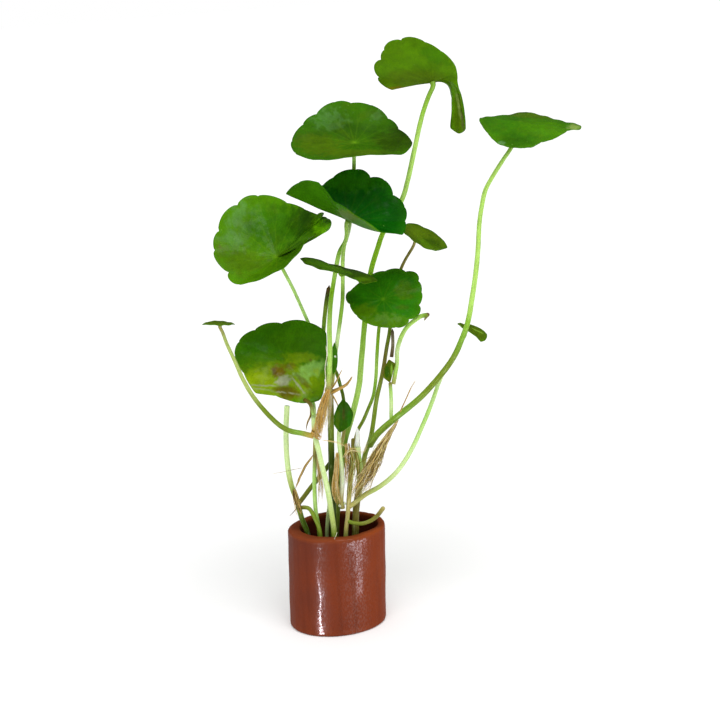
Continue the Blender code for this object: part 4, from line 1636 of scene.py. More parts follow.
BLADES = (
    Blade(
        "leaf_top",
        hub=(432.5, 82.0, 0.0),
        margin=(
            (392, 89.5, 1, 0.2), (379, 77, -4, 0.32), (381, 59.5, -7, 0.15), (384, 50, -8, 0.26),
            (401, 40, -8, 0.2), (425, 42, -6, 0.06), (441, 51, -5, 0.06), (455, 65, -2, 0.05),
            (457.5, 80, 1, 0.0), (461.5, 107, 2, 0.04), (466, 128, 3, 0.15), (459, 133.5, 4, 0.12),
            (450.5, 128, 6, 0.0), (452, 98, 8, 0.0), (446, 76, 12, 0.0), (420, 68, 12), (400, 76, 9),
        ),
        waists=(
            (8, (447, 78, 1)), (9, (455, 84, 2)), (10, (456, 86, 3)), (11, (455, 86, 3)),
            (12, (451, 85.5, 5)), (13, (448, 84.5, 5)),
        ),
        flatness=0.8,
        blots=(
            Blot(Hue.OLIVE_LEAF, 414, 80, 34, 11, 0.75, ragged=0.2),
            Blot(Hue.LEAF, 436, 56, 16, 8, 0.5, slant=30),
            Blot(Hue.RUST, 398, 88, 12, 1.6, 0.6),
            # The next blot is painted light down the middle of the hanging lobe.
            Blot(Hue.GLEAM, 456, 102, 6, 26, 0.35),
            Blot(Hue.OLIVE_LEAF, 458, 114, 5, 26, 0.8),
            Blot(Hue.DARK_OLIVE, 450.5, 122, 2, 9, 0.6),
            Blot(Hue.HAY, 459, 106, 1.4, 15, 0.4, slant=-10, ragged=0.8),
            Blot(Hue.PURPLE_BROWN, 462.5, 122, 1.6, 9, 0.5, slant=-8),
        ),
        veined=0.6,
    ),
    Blade(
        "leaf_wide",
        hub=(354.5, 143.0, 6.0),
        margin=(
            (411.5, 141, 4, 0.06), (398.5, 129, 10, 0.1), (388, 118.5, 15), (370, 105, 19, 0.08),
            (351, 103, 21), (335, 102, 20), (316.5, 114, 16), (303, 124.5, 12, 0.08),
            (292, 141, 6), (295.5, 152.5, 0), (311.5, 159, -6), (333, 159.3, -11, 0.06),
            (357, 155.8, -12, 0.0), (380, 154.5, -10, 0.06), (401.5, 154.3, -5),
        ),
        crest=0.12,
        upper=Hue.MID_LEAF,
        upper_rim=Hue.LEAF,
        blots=(
            Blot(Hue.LEAF, 320, 118, 22, 12, 0.5),
            Blot(Hue.OLIVE_LEAF, 318, 143, 26, 11, 0.6),
            # The next blot is painted shade on the near strip that curls down.
            Blot(Hue.OLIVE_LEAF, 352, 153, 44, 4, 0.6),
            Blot(Hue.DARK_OLIVE, 396, 142, 22, 12, 0.8),
            # The next blot is painted shade, and the two after it are painted highlights.
            Blot(Hue.SHADED_LEAF, 350, 132, 26, 8, 0.5),
            Blot(Hue.SHEEN, 330, 119, 16, 10, 0.32, ragged=1.0),
            Blot(Hue.SHEEN, 376, 116, 6, 5, 0.35, ragged=1.0),
        ),
        veined=0.7,
    ),
    Blade(
        "leaf_cupped",
        hub=(348.0, 220.5, -6.0),
        margin=(
            (402.5, 234.3, -8, 0.1), (405, 221, -3), (404.5, 207, 0), (393, 195, 1), (384, 180, 2),
            (370.5, 177.5, 2, 0.22), (355, 170, 2), (333, 177.5, 1, 0.05), (323, 185, 0, 0.0),
            (300, 190, -4, 0.0), (286, 193.5, -9, 0.05), (299, 182.5, -15), (319, 182.5, -19, 0.05),
            (334, 201, -22, 0.05), (355, 214.5, -22, 0.05), (381, 232, -17, 0.05),
        ),
        flatness=0.75,
        slot=Slot.DARK_BLADE,
        upper=Hue.BOTTLE,
        upper_rim=Hue.DEEP_LEAF,
        under=Hue.LEAF,
        blots=(
            Blot(Hue.OLIVE_LEAF, 352, 214, 14, 7, 0.8, face=Face.UNDER),
            Blot(Hue.GRASS, 376, 228, 14, 4, 0.7, slant=30, face=Face.UNDER),
            Blot(Hue.DEEP_LEAF, 350, 182, 34, 10, 0.8, face=Face.UPPER),
        ),
        veined=0.25,
    ),
    Blade(
        "leaf_small_right",
        hub=(417.0, 237.0, 2.0),
        margin=(
            (447.5, 247.2, 2), (438, 235.5, 6), (424, 227.5, 8), (411, 223, 7), (403, 227, 3),
            (405, 233.5, -2), (414, 241, -4), (424.5, 247.5, -3, 0.15), (437, 250.3, -1),
        ),
        crest=0.08,
        upper=Hue.OLIVE_LEAF,
        upper_rim=Hue.MID_LEAF,
        blots=(
            Blot(Hue.DARK_OLIVE, 434, 243, 12, 5, 0.8, slant=32),
            Blot(Hue.FRESH, 424, 243, 9, 3, 0.4, slant=32),
        ),
        veined=0.3,
    ),
    Blade(
        "leaf_left",
        hub=(277.0, 257.0, -4.0),
        margin=(
            (328, 218.5, 0, 0.05), (322.5, 216.5, -1, 0.25), (317.5, 214.5, -6, 0.0),
            (304, 209, -2, 0.05), (287, 203, 3, 0.12), (258, 196, 6, 0.2), (237.5, 205, 4, 0.2),
            (219, 231, 0, 0.17), (215, 250, -4, 0.18), (229, 272, -10, 0.3), (239, 284, -13, 0.12),
            (262, 278.5, -18, 0.07), (285, 267, -20, 0.07), (299, 252, -19, 0.05),
            (308.5, 237, -14, 0.0), (329, 230, -4, 0.2),
        ),
        waists=((0, (305, 238, -10)), (15, (304, 244, -11)), (1, (302, 236, -9))),
        upper=Hue.FRESH,
        blots=(
            Blot(Hue.LEAF, 278, 226, 34, 22, 0.8),
            # The next two blots are painted shade towards the crease.
            Blot(Hue.SHADED_LEAF, 300, 222, 13, 16, 0.85, slant=15),
            Blot(Hue.SHADED_LEAF, 292, 250, 22, 9, 0.6, slant=-38),
            Blot(Hue.OLIVE_LEAF, 244, 262, 24, 12, 0.5),
            Blot(Hue.MID_LEAF, 276, 270, 26, 5, 0.6, slant=-22),
            # The next blot is painted shade in the crease; the one after it is painted light on the flap
            # beyond.
            Blot(Hue.SHADED_LEAF, 306, 217, 5, 5, 0.7),
            Blot(Hue.GLEAM, 322, 226, 8, 9, 0.9, slant=-20),
            Blot(Hue.UMBER, 220, 247, 2.2, 2.0, 0.6),
            Blot(Hue.OLIVE_LEAF, 222, 250, 8, 6, 0.5),
            # The next two blots are painted highlights.
            Blot(Hue.SHEEN, 238, 216, 9, 16, 0.45, slant=20, ragged=1.0),
            Blot(Hue.SHEEN, 230, 238, 12, 7, 0.35, ragged=1.0),
        ),
    ),
    Blade(
        "leaf_edgewise",
        hub=(341.0, 270.5, -15.0),
        margin=(
            (377.5, 280.5, -15), (368, 274, -11), (346, 268, -9), (329, 263.5, -9),
            (313, 258, -11), (300.2, 258.2, -15), (305, 263.5, -18), (320, 269, -21),
            (338, 272.5, -22), (352, 278, -22), (364, 283.5, -19),
        ),
        crest=0.06,
        upper=Hue.DARK_OLIVE,
        upper_rim=Hue.DARK_OLIVE,
        blots=(Blot(Hue.FRESH, 326, 266, 26, 4, 0.6, slant=18), Blot(Hue.GRASS, 362, 279, 9, 2, 0.5)),
        veined=0.2,
    ),
    Blade(
        "leaf_round",
        hub=(383.0, 299.5, -3.0),
        margin=(
            (421.5, 292, 0), (418.5, 281, 3, 0.35), (405.5, 271.5, 5, 0.17), (385, 271, 6),
            (367, 278.5, 4, 0.04), (350.5, 290.5, 0, 0.24), (350, 304, -5), (356.5, 315, -7),
            (378, 326, -10, 0.09), (396, 327, -10, 0.25), (409, 319, -8, 0.28), (419, 305, -4),
        ),
        crest=0.12,
        slot=Slot.DARK_BLADE,
        upper=Hue.DEEP_LEAF,
        blots=(
            Blot(Hue.OLIVE_LEAF, 405, 290, 12, 9, 0.5),
            Blot(Hue.UMBER, 402, 307, 6, 3, 0.25),
            Blot(Hue.GRASS, 364, 312, 14, 9, 0.9),
            Blot(Hue.GRASS, 384, 321, 30, 7, 0.85),
            # The next blot is a painted highlight along the curled lower lip.
            Blot(Hue.SHEEN, 386, 319, 22, 3, 0.22, ragged=1.6),
        ),
        veined=0.6,
    ),
    Blade(
        "leaf_decaying",
        hub=(286.0, 361.0, 4.0),
        margin=(
            (326.5, 355, 1, 0.03), (326, 333, 4, 0.08), (308, 322.5, 9, 0.12),
            (281.5, 323.5, 11, 0.14), (255, 330, 9, 0.14), (239, 342, 7, 0.12),
            (235, 355, 4, 0.08), (244, 373, 0, 0.06), (256, 393, -3, 0.03),
            (276, 395.5, -4, 0.06), (299, 402.5, -4, 0.1), (320, 399.5, -3), (324.5, 380, -1, 0.05),
        ),
        crest=0.1,
        slot=Slot.DECAYED_BLADE,
        blots=(
            Blot(Hue.FRESH, 296, 342, 30, 16, 0.5, ragged=0.2),
            Blot(Hue.GRASS, 262, 362, 30, 10, 0.5, ragged=0.2),
            Blot(Hue.YELLOW_GREEN, 282, 382, 50, 21, 0.6, ragged=0.2),
            Blot(Hue.YELLOW_GREEN, 300, 358, 20, 6, 0.4, ragged=0.3),
            Blot(Hue.YELLOW_GREEN, 258, 381, 18, 9, 0.7, ragged=0.3),
            Blot(Hue.GRASS, 320, 388, 9, 14, 0.4, ragged=0.3),
            # The next two blots are a painted reflection on the wet part of the blade.
            Blot(Hue.WET_SAGE, 312, 369, 14, 7.5, 0.75, slant=-15, ragged=0.5),
            Blot(Hue.WET_SAGE, 303, 377, 9, 5, 0.65, slant=30, ragged=0.7),
            Blot(Hue.YELLOW_GREEN, 316, 371, 3.5, 2.5, 0.5, ragged=1.0),
            Blot(Hue.RUST, 279, 371, 7.5, 7.0, 0.9, ragged=0.5),
            Blot(Hue.RUST, 290, 366, 6, 3.5, 0.5, ragged=0.5),
            Blot(Hue.UMBER, 274, 372, 2.5, 5, 0.5),
            Blot(Hue.FILM, 284, 381, 8.5, 6, 0.85, slant=-15, ragged=0.6),
            Blot(Hue.OLIVE_ROT, 287, 392, 13, 7, 0.9, slant=14, ragged=0.4),
            Blot(Hue.OLIVE_ROT, 303, 381, 10, 3.0, 0.6, slant=48),
            Blot(Hue.FILM, 298, 385, 12, 0.9, 0.8, slant=52, ragged=0.5),
            Blot(Hue.FILM, 262, 385.5, 15, 0.7, 0.75, slant=2, ragged=0.3),
            Blot(Hue.FILM, 262, 389.0, 14, 0.5, 0.4, slant=6, ragged=0.3),
            Blot(Hue.FILM, 284, 392.5, 14, 0.6, 0.6, slant=6, ragged=0.6),
            Blot(Hue.BARK, 310.5, 360, 1.4, 1.2, 0.8),
        ),
        veined=0.35,
    ),
    Blade(
        "leaf_far_right",
        hub=(520.0, 121.5, 2.0),
        margin=(
            (579, 129.5, 1, 0.25), (578.5, 124.5, 4, 0.05), (567, 122.3, 9, 0.0),
            (554, 119, 12, 0.03), (540, 115, 15, 0.03), (526, 111.8, 16, 0.03),
            (509, 114.8, 14, 0.0), (492, 116.3, 9, 0.0), (480.5, 117.8, 3, 0.1),
            (480, 121.5, 0, 0.05), (485, 129.5, -4, 0.05), (490.5, 136.5, -6, 0.08),
            (499, 144, -9, 0.08), (509, 147, -11, 0.08), (523, 147.8, -12, 0.1),
            (532, 147, -11.5, 0.1), (541, 141.8, -10, 0.12), (554, 138.2, -8, 0.06), (567, 130.6, -3, 0.0),
        ),
        blots=(
            Blot(Hue.FRESH, 542, 128, 26, 10, 0.5),
            Blot(Hue.OLIVE_LEAF, 528, 115, 36, 3, 0.7, slant=4),
            Blot(Hue.HAY, 574, 127, 7, 3, 0.4),
            # The next blot is painted shade, and the one after it a painted highlight.
            Blot(Hue.SHADED_LEAF, 520, 142, 20, 5, 0.35),
            Blot(Hue.SHEEN, 501, 143, 4, 2.4, 0.9),
        ),
        veined=0.35,
    ),
    Blade(
        "leaf_behind_stalk",
        hub=(468.0, 328.0, 5.0),
        margin=(
            (485.5, 340, 5), (487, 334, 7), (477, 326.5, 9), (464, 324, 8), (457.5, 323.5, 5),
            (463, 328, 2), (472.5, 333.5, 1, 0.0), (481, 341.5, 3),
        ),
        crest=0.08,
        slot=Slot.DARK_BLADE,
        upper=Hue.OLIVE_LEAF,
        blots=(Blot(Hue.LIME, 479, 331.6, 8, 0.6, 0.5, slant=26),),
        veined=0.2,
    ),
    Blade(
        "leaf_tiny_left",
        hub=(220.0, 323.5, -6.0),
        margin=(
            (235, 324, -6), (228, 322, -3), (219, 320.8, -2), (209, 321.5, -3), (202, 324.5, -6),
            (209, 324.5, -9), (220, 325.5, -10), (229, 325, -9),
        ),
        crest=0.03,
        upper=Hue.MOSSY,
        wave=0.05,
    ),
    Blade(
        "leaf_folded_low",
        hub=(343.5, 417.0, -8.0),
        margin=(
            (353, 413, -9), (348, 404, -9), (343, 399, -8), (338, 406, -9), (334.5, 415, -10),
            (334.5, 425, -10), (340, 432.5, -9), (350, 425.5, -9),
        ),
        crest=0.06,
        slot=Slot.DARK_BLADE,
        upper=Hue.SHADED_LEAF,
        upper_rim=Hue.SHADED_LEAF,
        blots=(
            Blot(Hue.DEEP_LEAF, 349.5, 419, 2.6, 9, 0.8),
            Blot(Hue.UMBER, 343.5, 414, 1.6, 6, 0.45),
            Blot(Hue.MOSSY, 338, 420, 2.4, 9, 0.5),
        ),
        wave=0.1,
        veined=0.1,
    ),
    Blade(
        "bract_low",
        hub=(334.3, 357.0, -3.4),
        margin=(
            (337.3, 352, -3), (334.5, 342.5, -3.2), (331.8, 349, -3.6), (331.6, 362, -3.6),
            (333.2, 375, -3.4), (336.9, 368, -3.2),
        ),
        crest=0.05,
        # The pale dot is a painted highlight.
        blots=(Blot(Hue.IVORY, 335.3, 356.6, 0.9, 0.9, 0.9),),
        wave=0.05,
        veined=0.0,
    ),
    Blade(
        "leaf_young",
        hub=(389.5, 371.0, -3.0),
        margin=(
            (395.5, 364, -3), (389, 359.5, -3), (384.5, 368, -3.5), (384, 378, -4),
            (390, 382.5, -4), (393, 371, -3.5),
        ),
        crest=0.05,
        slot=Slot.DARK_BLADE,
        upper=Hue.OLIVE_LEAF,
        upper_rim=Hue.RUST,
        blots=(
            Blot(Hue.SHADED_LEAF, 387, 372, 2.2, 8, 0.8),
            Blot(Hue.LIME, 391.6, 369, 1.0, 8, 0.8),
        ),
        wave=0.05,
        veined=0.0,
    ),
)

STEMS = (
    Stem(
        "stalk_top", 1.4, 2.2, carries="leaf_top",
        route=(
            (428.8, 96, 0), (422.3, 115, 0), (414.4, 150, 1), (407.8, 180, 3), (402.2, 199, 5),
            (383, 233, 8), (377.7, 248, 9), (371, 271, 9.5), (367, 300, 8.2), (364.5, 325, 6),
            (361, 365, 5), (359, 386, 4.5), (351.6, 417.7, 4), (345, 440, 4), (341, 470, 4),
            (338, 500, 4), (336, 530, 4), (336, 612, 4),
        ),
        hues=shades(
            "0.0 SAP 0.04 LIME 0.11 PALE_LIME 0.2 PALE_LIME 0.26 SPRING 0.45 SPRING 0.53 PALE_LIME "
            "0.6 PALE_LIME 0.67 SAP 1.0 STEM_BROWN"
        ),
    ),
    Stem(
        "stalk_wide", 1.2, 1.6, carries="leaf_wide",
        route=(
            (354.2, 152, 5.5), (353.9, 169, 6), (351.5, 200, 6), (349.5, 225, 5), (345.5, 241, 3),
            (339.5, 252, 0), (335, 274, -0.5), (331, 300, -2), (329.5, 325, -4), (330, 355, -5),
            (328.6, 388.4, -4.8),
        ),
        hues=shades(
            "0.0 SAP 0.03 CREAM 0.06 MINT 0.1 STEM_GREEN 0.3 STEM_GREEN 0.37 CREAM 0.42 SPRING "
            "0.5 PALE_LIME 0.62 SPRING 0.75 PALE_LIME 0.93 PALE_LIME 1.0 STRAW"
        ),
    ),
    Stem(
        "stem_main", 1.9, 2.3,
        route=(
            (328.9, 389.9, -4.7), (330.5, 401, -3.7), (331, 435, -3), (331.5, 460, -3),
            (332, 485, -4), (333, 530, -4.5), (334, 612, -4.5),
        ),
        slot=Slot.OLD_STALK,
        hues=shades("0.0 STRAW 0.08 STEM_BROWN 0.2 STEM_OLIVE 0.32 STEM_DARK 1.0 STEM_DARK"),
        swellings=((0.0, 0.35, 0.03),),
    ),
    Stem(
        "stalk_cupped", 1.2, 1.3, carries="leaf_cupped",
        route=(
            (346.5, 235, -6), (344, 247, -6), (342.8, 260, -5), (342.8, 284, -4),
            (342.4, 301, -4), (339.8, 323, -3), (337, 343, -1.8), (334, 365, -1.5), (331.8, 387, -2.4),
        ),
        hues=shades(
            "0.0 SAP 0.05 PALE_LIME 0.35 PALE_LIME 0.43 SAP 0.58 LIME 0.7 CREAM 0.85 LIME 1.0 STRAW"
        ),
    ),
    Stem(
        "stalk_small_right", 0.9, 2.0, carries="leaf_small_right",
        route=(
            (413.8, 245, 3), (401.3, 268, 9), (393, 300, 8), (389.5, 332, 3), (386.7, 347.5, 1.5),
            (382.8, 372, 0), (376.5, 400, -1), (373, 424.7, -1.5), (370.2, 439.5, -1.5),
            (365, 455, -1.5), (362.6, 470.6, -1.5), (358, 500, -1.5), (355, 530, -1.5),
            (353, 612, -1.5),
        ),
        slot=Slot.OLD_STALK,
        hues=shades(
            "0.0 STRAW 0.04 STEM_BROWN 0.12 STEM_BROWN 0.2 HAY 0.28 STEM_OLIVE 0.35 STEM_BROWN "
            "0.43 STEM_OLIVE 0.58 STEM_OLIVE 0.64 STRAW 1.0 STEM_BROWN"
        ),
    ),
    Stem(
        "stalk_left", 1.1, 1.2, carries="leaf_left",
        route=(
            (282.5, 268.5, -4), (287.5, 278, -2), (293.2, 289, 3), (300, 304, 9),
            (306.7, 319, 14), (314, 335, 15.5), (321, 350, 14), (330, 363, 10.5),
            (336.2, 372.4, 7.5), (340.4, 386, 4), (343.5, 399, 1), (344, 430, 0), (338, 460, 0.5),
            (330, 500, 1), (327, 530, 1), (327, 612, 1),
        ),
        hues=shades(
            "0.0 LIME 0.06 MINT 0.33 MINT 0.37 STRAW 0.4 STEM_OLIVE 0.49 STEM_DARK 0.57 STRAW "
            "0.68 CREAM 1.0 STEM_OLIVE"
        ),
    ),
    Stem(
        "stalk_round", 1.1, 1.2, carries="leaf_round",
        route=(
            (382.5, 305, 1.5), (381, 315, 3), (379, 328, 3.5), (376.8, 358, 3), (375.8, 379, 3),
            (373, 396.7, 3), (368, 409.3, 2.5), (363.2, 420.5, 2), (358.2, 429.6, 2), (354, 445, 2.5),
            (350, 475, 3), (348, 505, 3), (347, 530, 3), (346, 612, 3),
        ),
        hues=shades(
            "0.0 STEM_GREEN 0.07 STEM_OLIVE 0.17 SPRING 0.24 PALE_LIME 0.3 LIME 0.36 STEM_OLIVE "
            "0.42 STEM_OLIVE 0.47 STRAW 0.6 STRAW 1.0 STEM_BROWN"
        ),
    ),
    Stem(
        "stalk_edgewise", 0.8, 1.0, carries="leaf_edgewise",
        route=(
            (347, 274.5, -11), (353, 277, -6), (357, 279, 1), (360.5, 283, 6), (363, 290, 6.4),
            (362, 300, 5.5), (362.5, 309, 5.2),
        ),
        hues=shades("0.0 STEM_GREEN 1.0 STEM_GREEN"),
    ),
    Stem(
        "stalk_far_right", 1.2, 2.1, carries="leaf_far_right",
        route=(
            (518.5, 132, 2), (511, 148, 1), (503, 160, 0), (493.5, 175, 0), (485.5, 190, 0),
            (481.5, 208, 0), (479.3, 224, 0), (478, 249.6, -1), (475.5, 275, -1), (471.7, 300.6, -2),
            (467.6, 323, -3), (461.5, 340, -3.5), (453.5, 357.4, -4), (439.5, 376.5, -4.5),
            (419, 398.7, -5), (396.6, 417, -5), (378.2, 433.2, -5), (372.5, 441, -4.2),
            (370.3, 445, -2.4),
        ),
        hues=shades(
            "0.0 SAP 0.05 SAP 0.1 PALE_LIME 0.5 PALE_LIME 0.56 LIME 0.62 SAP 0.67 STEM_OLIVE "
            "0.76 STEM_OLIVE 0.85 SAP 1.0 STEM_OLIVE"
        ),
    ),
    Stem(
        "stalk_behind_stalk", 1.2, 1.6, carries="leaf_behind_stalk",
        route=(
            (464.5, 336, 3), (460.5, 343, 2), (453.5, 357, 1), (444, 371.5, 0), (439.5, 381, -1),
            (433.3, 398.7, -2), (424.2, 421.7, -2), (410.4, 451.5, -3), (396.6, 472, -4),
            (380.5, 486, -5.5), (364.5, 495, -7), (352.9, 504.2, -7.6), (349.5, 506.5, -8),
        ),
        slot=Slot.PALE_STALK,
        hues=shades("0.0 SAP 0.18 STEM_OLIVE 0.24 CREAM 0.45 MINT 0.72 CREAM 0.85 HAY 1.0 STRAW"),
    ),
    Stem(
        "stalk_tiny_left", 1.0, 1.8, carries="leaf_tiny_left",
        route=(
            (222, 331, -6), (226.5, 343, -6), (234.8, 361, -6), (242.3, 378, -6.5),
            (251.4, 394, -7), (261.3, 407, -7), (272, 418.6, -7), (282, 427, -7), (290.4, 431, -7),
            (302.8, 433.5, -7), (310.6, 435.5, -7.4), (314.5, 436.3, -7.9),
        ),
        slot=Slot.OLD_STALK,
        hues=shades("0.0 STRAW 0.1 HAY 0.45 HAY 0.6 STEM_OLIVE 0.8 STEM_OLIVE 0.9 SAP 1.0 ROOT_ORANGE"),
    ),
    Stem(
        "stalk_decaying", 1.6, 1.8, carries="leaf_decaying",
        route=(
            (289.5, 369, 9.5), (298, 381, 8.5), (308, 394, 5), (313, 405, 1), (313.7, 418, -3.5),
            (315, 436, -8), (318.3, 449, -9), (321.3, 463, -9), (325, 478, -9), (329, 497, -9),
            (332, 516.5, -9.6), (334, 531, -10.2), (335, 612, -10.3),
        ),
        slot=Slot.PALE_STALK,
        hues=shades(
            "0.0 SAP 0.12 STEM_OLIVE 0.18 STRAW 0.22 MINT 0.27 CREAM 0.33 CREAM 0.35 ROOT_ORANGE "
            "0.375 CREAM 0.56 CREAM 0.66 HAY 0.72 STEM_OLIVE 1.0 STEM_DARK"
        ),
    ),
    Stem(
        "stub_left", 1.7, 1.7,
        route=(
            (287, 406, -3), (286, 434, -3), (287.6, 465, -3), (291, 484, -3), (297, 501, -2.5),
            (302, 519, -3.5), (307.5, 533, -4.3), (309, 550, -4.5), (309.5, 612, -4.5),
        ),
        slot=Slot.PALE_STALK,
        hues=shades(
            "0.0 CREAM 0.27 CREAM 0.36 HAY 0.42 STEM_OLIVE 0.5 STEM_OLIVE 0.56 STEM_DARK 1.0 STEM_DARK"
        ),
        top_end=End.CUT,
    ),
    Stem(
        "stem_short_dark", 1.5, 1.5,
        route=((331, 462, 0.8), (322, 474, 1), (312, 486, 0.3), (300.7, 501, -1.2), (298, 504, -2.2)),
        slot=Slot.OLD_STALK,
        hues=shades("0.0 STEM_DARK 0.4 STEM_OLIVE 1.0 STEM_BROWN"),
    ),
    Stem(
        "stem_arched", 1.3, 1.4,
        route=(
            (299.3, 508.2, -3), (302, 507.5, -3.7), (309, 508.4, -5.5), (312.9, 514, -6.8),
            (316.7, 522, -7.5), (319.8, 531, -7.8), (321, 612, -7.8),
        ),
        slot=Slot.OLD_STALK,
        hues=shades("0.0 STEM_BROWN 0.15 STEM_OLIVE 0.3 STEM_OLIVE 1.0 STEM_DARK"),
    ),
    Stem(
        "stem_pale", 1.3, 1.3,
        route=(
            (315, 440.7, -7), (314.8, 459, -5), (314.4, 478, -4.5), (314.8, 497, -4.5),
            (316, 513, -4.5), (319, 530, -4.2), (321, 612, -4.2),
        ),
        slot=Slot.PALE_STALK,
        hues=shades("0.0 STRAW 0.1 STEM_BROWN 0.2 MINT 0.43 MINT 0.52 SAP 1.0 STEM_DARK"),
    ),
    Stem(
        "stalk_folded_low", 1.3, 1.5, carries="leaf_folded_low",
        route=(
            (339, 434, -6.6), (340.4, 455, -6.5), (342, 471, -6.5), (342.4, 486, -6.5),
            (341.2, 500, -6.5), (342.7, 508, -6),
        ),
        slot=Slot.PALE_STALK,
        # Its top is dark with painted shade under its leaf.
        hues=shades("0.0 STEM_DARK 0.1 STEM_OLIVE 0.2 CREAM 0.5 CREAM 0.75 IVORY 0.9 STRAW 1.0 STRAW"),
    ),
    Stem(
        "stem_rooting", 1.2, 1.5,
        route=(
            (353, 440, -3.5), (352.3, 459, -4), (351, 471, -4.5), (350.4, 486, -5.5),
            (349, 501, -8), (347.3, 519, -8), (346, 530, -8), (345, 612, -8),
        ),
        slot=Slot.PALE_STALK,
        hues=shades("0.0 STEM_BROWN 0.2 STRAW 0.5 STRAW 0.6 STEM_OLIVE 1.0 STEM_DARK"),
    ),
    Stem(
        "shoot_over_rim", 1.4, 1.2,
        route=(
            (383, 508.5, -6), (376.5, 516.5, -7), (368, 522, -8), (360.3, 523.7, -8.3),
            (350.5, 522.2, -8.2), (347.3, 520.5, -8),
        ),
        slot=Slot.OLD_STALK,
        hues=shades("0.0 STRAW 0.2 STEM_BROWN 1.0 STEM_OLIVE"),
    ),
    Stem(
        "stump_cut", 2.1, 2.2,
        route=(
            (357.3, 447, -5), (357.7, 455, -5), (358.8, 463, -5), (360.3, 477, -5),
            (359, 490, -4.6), (356.5, 505, -4.7), (355.5, 530, -5.5), (355, 612, -5.5),
        ),
        hues=shades("0.0 CREAM 0.06 MINT 0.14 HAY 0.22 HAY 0.32 STEM_BROWN 1.0 STEM_DARK"),
        top_end=End.CUT,
    ),
    Stem(
        "stalk_young", 1.2, 1.2,
        route=((390.3, 383.9, -3.9), (391.2, 400, -3), (391.2, 416.6, -3.6), (391.5, 421, -4.8)),
        slot=Slot.PALE_STALK,
        hues=shades("0.0 STEM_BROWN 0.2 MINT 0.6 CREAM 1.0 LIME"),
    ),
    Stem(
        "shoot_curled", 1.4, 1.4,
        route=(
            (427, 315, -5), (421.5, 316, -5), (414.6, 320.4, -4.5), (406.6, 327.6, -4),
            (400.6, 338.5, -3), (397.2, 351, -1.8), (397, 362, -1.2), (393.4, 384, -2.6),
        ),
        hues=shades(
            "0.0 STEM_BROWN 0.05 STEM_GREEN 0.1 PALE_LIME 0.45 PALE_LIME 0.6 CREAM 0.85 PALE_LIME "
            "1.0 STRAW"
        ),
    ),
    Stem(
        "tip_of_the_curled_shoot", 1.3, 0.5,
        route=((427.6, 314.7, -5), (426.4, 316.6, -5), (424.8, 319.4, -4.9)),
        hues=shades("0.0 BARK 0.5 STEM_BROWN 1.0 TAUPE"), stands_for=(),
        foot_end=End.TORN,
    ),
    Stem(
        "elbow_of_the_low_stalk", 1.15, 0.95,
        route=((340.2, 505.6, -6.4), (342.6, 504.8, -6.2), (345.6, 502.6, -6)),
        slot=Slot.PALE_STALK, stands_for=(),
        hues=shades("0.0 IVORY 1.0 IVORY"),
    ),
    Stem(
        "fold_below_the_decaying_leaf", 1.2, 1.2,
        route=((305.0, 400.0, -3.8), (309.4, 403.0, -3.9), (312.0, 408.5, -4.2), (313.4, 415, -4.8)),
        slot=Slot.OLD_STALK, stands_for=(),
        hues=shades("0.0 OLIVE_ROT 0.45 STEM_BROWN 1.0 MINT"),
    ),
    Stem(
        "peel_of_the_stump", 1.1, 1.9,
        route=((357.4, 431, -5.2), (357.8, 437, -5.1), (357.2, 446, -5)),
        slot=Slot.PALE_STALK, stands_for=(),
        hues=shades("0.0 PAPER 0.8 PAPER 1.0 IVORY"), top_end=End.TORN,
    ),
    Stem(
        "sheath_dry", 1.0, 1.2,
        route=((392.5, 332, 1.5), (392.8, 345, 1), (391.5, 357, 0.5)),
        slot=Slot.DEAD_STALK,
        hues=shades("0.0 PURPLE_BROWN 0.5 TAUPE 1.0 BARK"),
        top_end=End.TORN,
    ),
    Stem(
        "stub_dead", 1.4, 1.2,
        route=(
            (328.5, 289.5, 3), (326.5, 300.7, 3.5), (325, 313, 4.5), (323.8, 326, 7.2),
            (323, 345, 8), (324.5, 362, 6), (327, 377, 2), (329.5, 387, -0.9),
        ),
        slot=Slot.DEAD_STALK,
        hues=shades(
            "0.0 BARK 0.05 UMBER 0.1 STEM_DARK 0.2 STEM_OLIVE 0.35 STEM_GREEN 0.75 LIME 0.92 LIME "
            "1.0 STRAW"
        ),
        top_end=End.TORN,
    ),
)

